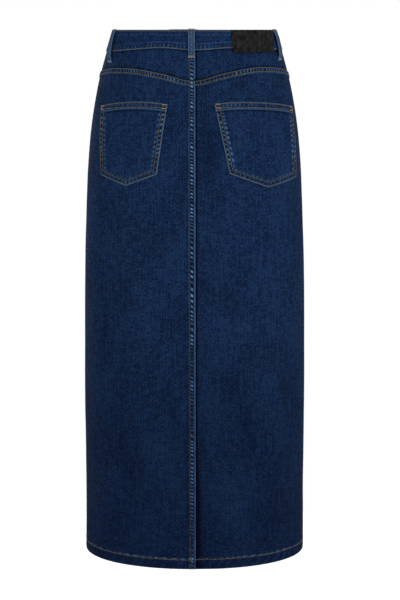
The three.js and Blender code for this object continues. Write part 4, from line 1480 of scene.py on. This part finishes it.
def patch_place(across, down):
    """Angle and height of a place on the patch, from its shares across and down."""
    outer = PATCH_OUTER_TOP + (PATCH_OUTER_FOOT - PATCH_OUTER_TOP) * down
    wave = 0.5 * noise(9 * across, 0.0, 141) * down
    return PATCH_INNER + (outer - PATCH_INNER) * across, PATCH_TOP + (PATCH_FOOT - PATCH_TOP + wave) * down


def patch_outside(across, down):
    """How far the patch stands out over its underside: its uneven thickness and rounded edges."""
    width = np.abs(arc(*patch_place(1.0, down)) - arc(*patch_place(0.0, down)))
    from_side = np.minimum(across, 1 - across) * width
    from_end = np.minimum(down, 1 - down) * (PATCH_TOP - PATCH_FOOT)
    edge = np.minimum(from_side, from_end)
    lumps = 0.10 * noise(across * 14, down * 5, 143)
    return PATCH_THICK + lumps - fold_drop(edge, 0.8, 0.7) - 0.12 * near(edge - 2.4, 0.8)


def make_patch():
    """The leather patch, laid over the waistband."""
    width, height = 100.0, 36.0
    across, down = np.meshgrid(stations(0.0, width, NEAR_LOOP, NEAR_LOOP, 40) / width,
                               stations(0.0, height, NEAR_LOOP, NEAR_LOOP, 16) / height)
    angle, z = patch_place(across, down)
    under = np.full(z.shape, BAND_OUT + 0.3)
    made = cloth_shell("waist_patch_leather", angle, z, under + patch_outside(across, down), under, 0 * z)
    finish_piece(made, [leather_material()], "waist_patch")
    one_material(made)
    print("patch:", len(made.data.polygons), "faces")


make_patch()

# %% [markdown]
# ## Topstitching
# Every visible stitch is a short capsule of thread, its ends sunk into the cloth. One stitch by hand would
# be easy; thousands are made by giving the same few rings a centre, a direction and a normal at each place
# along a row. All the stitches of a kind are joined in one mesh, because thousands of objects would be
# slow. Each stitch carries its own tint, since thread takes up dye and wears unevenly.

# %% Places of the stitches along a row
STITCH_PITCH = 3.3
STITCH_LENGTH = 2.95
STITCH_WIDTH = 0.95


def row_frames(angle, z, out, pitch):
    """Centres, directions and normals of the stitches along a row of places."""
    line = cloth_point(angle, z, out)
    normal = cloth_normal(angle, z)
    run = np.concatenate([[0.0], np.cumsum(np.linalg.norm(np.diff(line, axis=0), axis=1))])
    count = max(1, int(run[-1] / pitch))
    middle = (np.arange(count) + 0.5) * run[-1] / count
    read = lambda values, at: np.stack([np.interp(at, run, values[:, i]) for i in range(3)], -1)
    ahead = read(line, middle + 0.4 * pitch) - read(line, middle - 0.4 * pitch)
    ahead /= np.linalg.norm(ahead, axis=1, keepdims=True)
    up = read(normal, middle)
    up -= ahead * (up * ahead).sum(1, keepdims=True)
    return read(line, middle), ahead, up / np.linalg.norm(up, axis=1, keepdims=True)


print("a stitch:", STITCH_LENGTH, "by", STITCH_WIDTH, "mm, one every", STITCH_PITCH, "mm")

# %% Stitch builder
STITCH_SIDES = 6
# Rings of a capsule: place along its length, share of its width, and height in half widths
CAPSULE = [(-0.5, 0.0, -0.35), (-0.36, 0.85, -0.05), (0.0, 1.0, 0.2), (0.36, 0.85, -0.05), (0.5, 0.0, -0.35)]
threads = {}


def add_stitches(kind, frames, length, width, tint, seed, lift=0.12):
    """Adds capsules of thread along their directions, with a little unevenness of their own."""
    centre, ahead, up = frames
    random = np.random.default_rng(seed)
    turned = ahead + 0.05 * random.standard_normal(len(centre))[:, None] * np.cross(up, ahead)
    turned /= np.linalg.norm(turned, axis=1, keepdims=True)
    side = np.cross(up, turned)
    round_angles = np.arange(STITCH_SIDES) * TAU / STITCH_SIDES
    parts = []
    for along, wide, high in CAPSULE:
        middle = centre + turned * along * length + up * (lift + high * 0.5 * width)
        for turn in round_angles if wide else [0.0]:
            parts.append(middle + 0.5 * wide * width * (side * np.cos(turn) + up * 0.8 * np.sin(turn)))
    tints = tint + 0.13 * random.standard_normal(len(centre))
    threads.setdefault(kind, []).append((np.stack(parts, 1), tints))


def stitch_faces():
    """Triangles of one capsule: a pole, three rings and a pole."""
    n = STITCH_SIDES
    faces = []
    for i in range(n):
        j = (i + 1) % n
        faces += [(0, 1 + j, 1 + i), (1 + 3 * n, 1 + 2 * n + i, 1 + 2 * n + j)]
        for ring in (1, 1 + n):
            faces += [(ring + i, ring + j, ring + n + j), (ring + i, ring + n + j, ring + n + i)]
    return np.array(faces)


def count_stitches():
    """How many stitches each kind of thread has so far."""
    return {kind: sum(len(group[1]) for group in groups) for kind, groups in threads.items()}


print("one stitch:", len(stitch_faces()), "triangles")

# %% Rows and bar tacks
TACK_STEPS = 9
TACK_PITCH = 0.72


def sew(kind, angle, z, out, tint, seed, pitch=STITCH_PITCH):
    """A row of stitches along places on the cloth."""
    frames = row_frames(np.asarray(angle, float), np.asarray(z, float), out, pitch)
    add_stitches(kind, frames, STITCH_LENGTH * pitch / STITCH_PITCH, STITCH_WIDTH, tint, seed)


def tack(angle, z, out, length, upright, seed, width=2.3, tint=0.6):
    """A bar tack: a short dense bar of stitches that cross its line."""
    half = np.linspace(-0.5, 0.5, TACK_STEPS) * length
    level = np.full(TACK_STEPS, float(z))
    row_z = level + half if upright else level
    row_angle = angle_at(arc(angle, z) + (0 if upright else half), row_z)
    centre, ahead, up = row_frames(np.broadcast_to(row_angle, (TACK_STEPS,)), row_z, out, TACK_PITCH)
    add_stitches("tack_thread", (centre, np.cross(up, ahead), up), width, 1.0, tint, seed, lift=0.3)


print("a bar tack has one stitch every", TACK_PITCH, "mm")

# %% Rows on the back
def sew_down(distance, top, bottom, relief, tint, seed):
    """A row down the felled strip of the centre back, at a distance from its fold."""
    z = np.linspace(top, bottom, 260)
    angle = angle_at(arc(CENTRE_BACK, z) + distance, z)
    sew("seam_thread", angle, z, relief(angle, z, 1)[0], tint, seed)


for number, distance in enumerate(FELL_ROWS):
    yoke_top = float(waist_seam(0.0)) - 1
    sew_down(distance, yoke_top, float(yoke_seam(2.0)) + 0.5, yoke_outside, tint=0.3, seed=201 + number)
    panel_top = float(yoke_seam(2.0)) - 1.0
    sew_down(distance, panel_top, -SKIRT_LENGTH + 1, back_panel_outside, tint=0.06, seed=211 + number)

for direction in (1, -1):
    for number, distance in enumerate(YOKE_ROWS_AT):
        first = CENTRE_BACK + direction * 0.3
        angle = np.linspace(first, direction * (SIDE_SEAM - 0.6), 260)
        z = yoke_seam(angle) - distance
        seed = 221 + 3 * direction + number
        sew("yoke_thread", angle, z, back_panel_outside(angle, z, direction)[0], tint=0.65, seed=seed)

for side, panel in (("back", back_panel_outside), ("front", front_panel_outside)):
    limits = (CENTRE_BACK, SIDE_SEAM) if side == "back" else (SIDE_SEAM, CENTRE_FRONT)
    for direction in (1, -1):
        angle = np.linspace(limits[0] + 0.5, limits[1] - 0.5, 300) * direction
        z = -SKIRT_LENGTH + hem_row(angle)
        seed = 231 + 2 * direction + len(side)
        sew("hem_thread", angle, z, panel(angle, z, direction)[0], tint=0.55, seed=seed)

print("stitches:", count_stitches())

# %% Rows on the band and the loops
around = np.linspace(-CENTRE_FRONT + 0.6, CENTRE_FRONT + 2.6, 900)
for number, level in enumerate((0 * around - BAND_ROW, waist_seam(around) + BAND_FOOT_ROW)):
    sew("band_thread", around, level, band_outside(around, level)[0], tint=0.5, seed=251 + number)

for number, loop in enumerate(LOOPS.values()):
    height = loop["top"][1] - loop["bottom"][1]
    up = np.linspace(1.5 / height, 1 - 1.5 / height, 90)
    for side in (-1, 1):
        across = np.full(len(up), side * (LOOP_WIDTH / 2 - LOOP_ROW))
        out = loop_outside(loop, across, up, LOOP_SEED + number)[1]
        seed = 261 + 2 * number + side
        sew("loop_thread", *loop_place(loop, across, up), out, tint=0.3, seed=seed, pitch=3.0)
    for from_bottom, seed in ((2.2, 281), (height - 1.6, 291)):
        place = (np.zeros(1), np.full(1, from_bottom / height))
        angle, z = loop_place(loop, *place)
        out = float(loop_outside(loop, *place, LOOP_SEED)[1][0])
        length, tint = (11.0, 0.36) if number == 0 else (9.0, 0.3)
        tack(float(angle[0]), float(z[0]), out, length, upright=False, seed=seed + number, tint=tint)

print("stitches:", count_stitches())

# %% Rows on the pockets
POCKET_HEIGHT = 118.0
POCKET_TACK_OUT = POCKET_GAP + 1.9
SIDE_STEPS = 120


def sew_pocket(shape, share, down, tint, seed):
    """A row of stitches along places on a pocket."""
    angle, z = pocket_place(shape, share, down)
    relief = pocket_outside(shape, share, down)[0]
    sew("pocket_thread", angle, z, POCKET_GAP + relief, tint, seed, pitch=3.1)


for number, shape in enumerate(POCKETS.values()):
    width = float(pocket_width(shape, 0.5))
    seed = 301 + 10 * number
    for distance in POCKET_ROWS:
        inset = distance / width
        across = np.linspace(inset, 1 - inset, 160)
        height = pocket_place(shape, across, 0.0)[1] - pocket_place(shape, across, 1.0)[1]
        low = 1 - distance / (FOOT_SLANT * height)
        sides = np.linspace(0.02, low[[0, -1]], SIDE_STEPS).T
        share = np.concatenate([np.full(SIDE_STEPS, inset), across, np.full(SIDE_STEPS, 1 - inset)])
        sew_pocket(shape, share, np.concatenate([sides[0], low, sides[1][::-1]]), tint=0.48, seed=seed)
    for distance in POCKET_HEM_ROWS:
        share = np.linspace(0.02, 0.98, 160)
        sew_pocket(shape, share, np.full(len(share), distance / POCKET_HEIGHT), tint=0.55, seed=seed + 3)
        for share in (0.04, 0.96):
            angle, z = pocket_place(shape, share, distance / POCKET_HEIGHT)
            tack(float(angle), float(z), POCKET_TACK_OUT, 7.0, upright=False, seed=seed + 5, width=1.5)
    angle, z = pocket_place(shape, 0.985, 0.5 * sum(POCKET_HEM_ROWS) / POCKET_HEIGHT)
    tack(float(angle), float(z), POCKET_TACK_OUT, 6.5, upright=True, seed=seed + 6, width=1.4)

print("stitches:", count_stitches())

# %% Worked edge of the buttonhole
def sew_buttonhole(pitch=0.8, length=2.4):
    """Stitches side by side round the buttonhole, each lying across its edge."""
    across, up, normal = front_frame(HOLE_FROM_CENTRE, BUTTON_Z)[1:]
    edge = slot_outline(HOLE_LENGTH, HOLE_WIDTH, 30)
    edge = np.concatenate([edge, edge[:1]])
    run = np.concatenate([[0.0], np.cumsum(np.linalg.norm(np.diff(edge, axis=0), axis=1))])
    at = np.arange(0, run[-1], pitch)
    x, y = (np.interp(at, run, edge[:, i]) for i in (0, 1))
    straight = (HOLE_LENGTH - HOLE_WIDTH) / 2
    away = np.stack([x - np.clip(x, -straight, straight), y], -1)
    away /= np.linalg.norm(away, axis=1, keepdims=True)
    flat = np.stack([x, y], -1) + 0.35 * length * away
    angle = angle_at(arc(CENTRE_FRONT, BUTTON_Z) - HOLE_FROM_CENTRE + flat[:, 0], BUTTON_Z + flat[:, 1])
    out = band_outside(angle, BUTTON_Z + flat[:, 1])[0]
    centre = cloth_point(angle, BUTTON_Z + flat[:, 1], out)
    ahead = away[:, :1] * across + away[:, 1:] * up
    frames = (centre, ahead, np.broadcast_to(normal, centre.shape))
    add_stitches("buttonhole_thread", frames, length, width=0.8, tint=0.55, seed=351)


sew_buttonhole()
print("stitches round the buttonhole:", count_stitches()["buttonhole_thread"])

# %% Rows on the front
# Height of each bar tack of the fly, its distance from the centre front, and whether it stands upright
FLY_TACKS = [(FLY_BOTTOM + 9, 6.0, False), (-150.0, 32.0, True)]


def fly_curve(distance):
    """The J-shaped row of the fly: straight down, then round to the centre front."""
    straight = np.linspace(WAIST_LEVEL - 1, FLY_BOTTOM + 12 + distance, SIDE_STEPS)
    turn = np.linspace(0, np.pi / 2, 50)
    curve_z = FLY_BOTTOM + 12 + distance * (1 - np.sin(turn))
    z = np.concatenate([straight, curve_z])
    from_centre = np.concatenate([np.full(SIDE_STEPS, distance), distance * np.cos(turn)])
    return angle_at(arc(CENTRE_FRONT, z) - from_centre, z), z


for number, distance in enumerate(FLY_ROWS):
    angle, z = fly_curve(distance)
    sew("front_thread", angle, z, front_panel_outside(angle, z, 1)[0], tint=0.5, seed=331 + number)

for number, distance in enumerate(FELL_ROWS):
    z = np.linspace(FLY_BOTTOM + 14, -SKIRT_LENGTH + 1, 240)
    angle = angle_at(arc(CENTRE_FRONT, z) + fly_lap(z) - distance, z)
    sew("front_thread", angle, z, front_panel_outside(angle, z, 1)[0], tint=0.3, seed=335 + number)

for z, from_centre, upright in FLY_TACKS:
    angle = angle_at(arc(CENTRE_FRONT, z) - from_centre, z)
    out = float(front_panel_outside(np.array([angle]), np.array([z]), 1)[0][0])
    tack(float(angle), z, out, 9.0, upright, seed=341 + upright)

print("stitches:", count_stitches())

# %% [markdown]
# ## Thread materials and meshes
# Cotton thread is a two-ply twist, so the twist group lays slanting ridges over every stitch. A tint of
# zero is thread rubbed dark with indigo, and one is clean thread: orange in the rows, gold in the tacks.

# %% Thread material
# Colours of rubbed and of clean thread
ORANGE_RUBBED = (0.0115, 0.0118, 0.0128, 1)
ORANGE_CLEAN = (0.166, 0.121, 0.019, 1)
GOLD_RUBBED = (0.085, 0.055, 0.018, 1)
GOLD_CLEAN = (0.34, 0.205, 0.045, 1)

yarn_twist, given, result = shader_group("yarn_twist", [("Place", "Vector", None)], [("Height", "Float")])
twist = put(yarn_twist, "TexWave", {"Vector": given["Place"], "Scale": 420.0, "Distortion": 1.0},
            bands_direction="DIAGONAL")
yarn_twist.links.new(twist.outputs["Fac"], result["Height"])


def thread_material(name, dark, clean):
    """Cotton thread between its rubbed and its clean colour."""
    made, tree, shader = new_material(name, roughness=0.75, specular=0.2, sheen=0.05)
    tint = put(tree, "Attribute", attribute_name="tint").outputs["Fac"]
    tree.links.new(blend(tree, tint, dark, clean), shader.inputs["Base Color"])
    place = put(tree, "TexCoord").outputs["Object"]
    add_bump(tree, shader, 0.5, 0.0002, use_group(tree, yarn_twist, {"Place": place})["Height"])
    return made


orange_thread = thread_material("orange_thread", ORANGE_RUBBED, ORANGE_CLEAN)
gold_thread = thread_material("gold_thread", GOLD_RUBBED, GOLD_CLEAN)
print("threads:", orange_thread.name, "and", gold_thread.name)

# %% Thread meshes
one_stitch = stitch_faces()
for kind, groups in threads.items():
    points = np.concatenate([group[0] for group in groups])
    tints = np.concatenate([group[1] for group in groups])
    size = points.shape[1]
    faces = (one_stitch[None] + size * np.arange(len(points))[:, None, None]).reshape(-1, 3)
    made = mesh_object(kind, points.reshape(-1, 3), faces)
    set_value(made, "tint", np.repeat(np.clip(tints, 0, 1), size))
    finish_piece(made, [gold_thread if kind == "tack_thread" else orange_thread])
    print(f"{kind}: {len(points)} stitches, {len(faces)} triangles")

# %% [markdown]
# ## The zip
# The zip hides behind the fly. Its tape is a thin shell like the other cloth; its teeth are small rounded
# blocks that take turns on the two sides, joined in one mesh; and the slider stays at the top, closed.

# %% Metal
# Rubbed and tarnished colours of the two metals
BRASS_BRIGHT = (0.50, 0.31, 0.15, 1)
BRASS_DULL = (0.20, 0.12, 0.06, 1)
COPPER_BRIGHT = (0.46, 0.24, 0.13, 1)
COPPER_DULL = (0.16, 0.075, 0.045, 1)

tarnish, given, result = shader_group(
    "tarnish", [("Place", "Vector", None)], [("Mask", "Float"), ("Height", "Float")]
)
stains = put(tarnish, "TexNoise", {"Vector": given["Place"], "Scale": 210.0, "Detail": 5.0}).outputs[0]
tarnish.links.new(clamped(tarnish, calc(tarnish, "MULTIPLY_ADD", stains, 3.0, -1.0)), result["Mask"])
rubbing = put(tarnish, "TexNoise", {"Vector": given["Place"], "Scale": 1900.0, "Detail": 2.0}).outputs[0]
tarnish.links.new(rubbing, result["Height"])


def metal_material(name, bright, dull, roughness):
    """Metal that is rubbed bright in places and duller and rougher where it has tarnished."""
    made, tree, shader = new_material(name, roughness, specular=0.5, metallic=1.0)
    texture = use_group(tree, tarnish, {"Place": put(tree, "TexCoord").outputs["Object"]})
    tree.links.new(blend(tree, texture["Mask"], bright, dull), shader.inputs["Base Color"])
    rough = calc(tree, "MULTIPLY_ADD", texture["Mask"], 0.25, roughness)
    tree.links.new(rough, shader.inputs["Roughness"])
    add_bump(tree, shader, 0.3, 0.00005, texture["Height"])
    return made


print("tarnish:", len(tarnish.nodes), "nodes")

# %% Zip parts
TAPE_DEEP = (0.005, 0.007, 0.018, 1)
TAPE_PALE = (0.016, 0.021, 0.044, 1)
# Spacing of the tape's yarns, in metres
TAPE_YARN = 0.0004


def tape_material():
    """Navy zip tape, a plain weave of fine yarn."""
    made, tree, shader = new_material("zip_tape_navy", roughness=0.9, specular=0.1)
    weave = use_group(tree, twill_weave, {"Place": cloth_place(tree), "Yarn spacing": TAPE_YARN})
    color = blend(tree, weave["Height"], TAPE_DEEP, TAPE_PALE)
    tree.links.new(color, shader.inputs["Base Color"])
    add_bump(tree, shader, 0.6, 0.0001, weave["Height"])
    return made


def blocks(name, boxes):
    """One mesh of blocks left of the centre front: place, half sizes across, up and out, and distance out."""
    corners = np.array([(x, y, n) for x in (-1, 1) for y in (-1, 1) for n in (-1, 1)], float)
    quads = np.array([(0, 1, 3, 2), (4, 6, 7, 5), (0, 4, 5, 1), (2, 3, 7, 6), (0, 2, 6, 4), (1, 5, 7, 3)])
    points, faces = [], []
    for number, (from_centre, z, half, out) in enumerate(boxes):
        point, across, up, normal = front_frame(from_centre, z)
        local = corners * half
        points.append(point + normal * out + local @ np.stack([across, up, normal]))
        faces.append(quads + 8 * number)
    made = mesh_object(name, np.concatenate(points), np.concatenate(faces), smooth=False)
    soft = made.modifiers.new("soft_edges", "BEVEL")
    soft.width, soft.segments = 0.25 * MM, 2
    return made


print("the zip's tape has a yarn every", TAPE_YARN * 1000, "mm")

# %% Zip
ZIP_CENTRE = 8.0
ZIP_TOP = -36.0
ZIP_FOOT = -188.0
ZIP_OUT = -1.5
ZIP_IN = -2.7
TOOTH_PITCH = 2.6
SLIDER_TOP = -44.5


def make_zip():
    """The tape, the teeth and the slider of the zip."""
    across = stations(ZIP_CENTRE - 13, ZIP_CENTRE + 13, NEAR_EDGE, NEAR_EDGE, 14)
    heights = stations(ZIP_TOP, ZIP_FOOT, NEAR_EDGE, NEAR_EDGE, 60)
    across, z = np.meshgrid(across, heights)
    angle = angle_at(arc(CENTRE_FRONT, z) - across, z)
    outer = ZIP_OUT - 0.3 * near(across - ZIP_CENTRE - 11, 0.8) - 0.3 * near(across - ZIP_CENTRE + 11, 0.8)
    made = cloth_shell("zip_tape", angle, z, outer, np.full(z.shape, ZIP_IN), 0 * z)
    finish_piece(made, [tape_material()], "fly_zip")
    one_material(made)
    brass = metal_material("zip_metal", BRASS_BRIGHT, BRASS_DULL, 0.32)
    levels = np.arange(SLIDER_TOP - 14, ZIP_FOOT + 3, -TOOTH_PITCH)
    teeth = [(ZIP_CENTRE + side * 0.9, z - (side > 0) * TOOTH_PITCH / 2, (1.5, 0.55, 0.6), ZIP_OUT + 0.5)
             for z in levels for side in (-1, 1)]
    finish_piece(blocks("zip_teeth", teeth), [brass])
    body = SLIDER_TOP - 6.5
    slider = [(ZIP_CENTRE, body, (3.1, 6.2, 0.35), ZIP_OUT + 1.3),
              (ZIP_CENTRE, body, (1.2, 2.4, 0.4), ZIP_OUT + 1.9),
              (ZIP_CENTRE, body - 9, (1.9, 8.0, 0.3), ZIP_OUT + 2.1)]
    finish_piece(blocks("zip_slider", slider), [brass])
    print("zip:", len(teeth), "teeth")


make_zip()

# %% [markdown]
# ## The shank button
# A button is a profile turned round an axis: its head is a shallow cup with a raised rim, on a short neck
# that goes through the buttonhole to the covered end of the band. A Screw modifier would turn the profile
# too, but here the axis leans with the cloth, so the rings are placed along its normal.

# %% Button
BUTTON_RADIUS = 8.5
SHANK_RADIUS = 1.9
BUTTON_SIDES = 72
foot = BAND_OUT + 0.3
head = BAND_LIFT + BAND_OUT + 0.3
BUTTON_PROFILE = [
    (0.01, foot), (SHANK_RADIUS, foot), (SHANK_RADIUS, head), (7.0, head), (7.9, head + 0.3),
    (8.4, head + 1.0), (BUTTON_RADIUS, head + 1.6), (8.35, head + 2.3), (7.9, head + 2.9),
    (7.2, head + 3.2), (6.5, head + 3.1), (6.0, head + 2.6), (5.6, head + 2.3), (4.6, head + 2.35),
    (4.3, head + 2.6), (3.9, head + 2.65), (3.5, head + 2.35), (1.6, head + 2.45), (0.01, head + 2.6),
]


def make_button():
    """The shank button, turned from its profile."""
    point, across, up, normal = front_frame(BUTTON_FROM_CENTRE, BUTTON_Z)
    turn = np.arange(BUTTON_SIDES) * TAU / BUTTON_SIDES
    ring = np.cos(turn)[:, None] * across + np.sin(turn)[:, None] * up
    points = np.concatenate([point + radius * ring + height * normal for radius, height in BUTTON_PROFILE])
    index = np.arange(len(points)).reshape(len(BUTTON_PROFILE), BUTTON_SIDES)
    ahead = np.roll(index, -1, axis=1)
    sides = np.stack([index[:-1], ahead[:-1], ahead[1:], index[1:]], -1).reshape(-1, 4)
    mesh = bpy.data.meshes.new("waist_button_metal")
    ends = [index[0][::-1].tolist(), index[-1].tolist()]
    mesh.from_pydata((points * MM).tolist(), [], sides.tolist() + ends)
    mesh.polygons.foreach_set("use_smooth", np.full(len(mesh.polygons), True))
    made = add_object("waist_button_metal", mesh)
    copper = metal_material("copper_button", COPPER_BRIGHT, COPPER_DULL, 0.3)
    finish_piece(made, [copper], "waist_button")
    print("button:", len(mesh.polygons), "faces")


make_button()

# %% [markdown]
# ## Light and floor
# The photograph was lit softly from all round, with a little more light from the right. An even white
# world gives that, and three large square lights add the gentle shading of the folds. The floor is a pale
# disc below the hem, so that nothing dark reflects upwards. The skirt hangs above it, as if worn.

# %% Light and floor
FLOOR_LEVEL = -1.25
FLOOR_RADIUS = 1.55
SKIRT_MIDDLE = (0, 0, -0.45)
# Name, place in metres, width in metres and power in watts
LIGHTS = [
    ("key", (-1.9, 2.5, 0.7), 1.3, 62),
    ("fill", (2.1, 2.0, 0.3), 1.6, 16),
    ("front_key", (1.7, -2.6, 0.7), 1.6, 40),
]


def area_light(name, location, target, size, power):
    """A soft square light that faces its target."""
    light = bpy.data.lights.new(name, "AREA")
    light.size, light.energy = size, power
    made = add_object(name, light)
    made.location = location
    made.rotation_euler = (Vector(target) - Vector(location)).to_track_quat("-Z", "Y").to_euler()


world = bpy.data.worlds.new("studio")
world.use_nodes = True
backdrop = world.node_tree.nodes["Background"].inputs
backdrop["Color"].default_value = (1, 1, 1, 1)
backdrop["Strength"].default_value = 1.0
bpy.context.scene.world = world
bpy.context.scene.view_settings.view_transform = "Standard"
for name, location, size, power in LIGHTS:
    area_light(name, location, SKIRT_MIDDLE, size, power)

bpy.ops.mesh.primitive_cylinder_add(vertices=160, radius=FLOOR_RADIUS, depth=0.02,
                                    location=(0, 0, FLOOR_LEVEL))
floor = bpy.context.object
floor.name = "floor"
pale_floor, tree, shader = new_material("pale_floor", roughness=0.8, specular=0.2)
shader.inputs["Base Color"].default_value = (0.82, 0.82, 0.82, 1)
floor.data.materials.append(pale_floor)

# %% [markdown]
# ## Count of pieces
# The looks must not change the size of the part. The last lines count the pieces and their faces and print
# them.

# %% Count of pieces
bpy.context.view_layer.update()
total = sum(len(piece.data.polygons) for piece in pieces.values())
print(len(pieces), "pieces,", total, "faces")
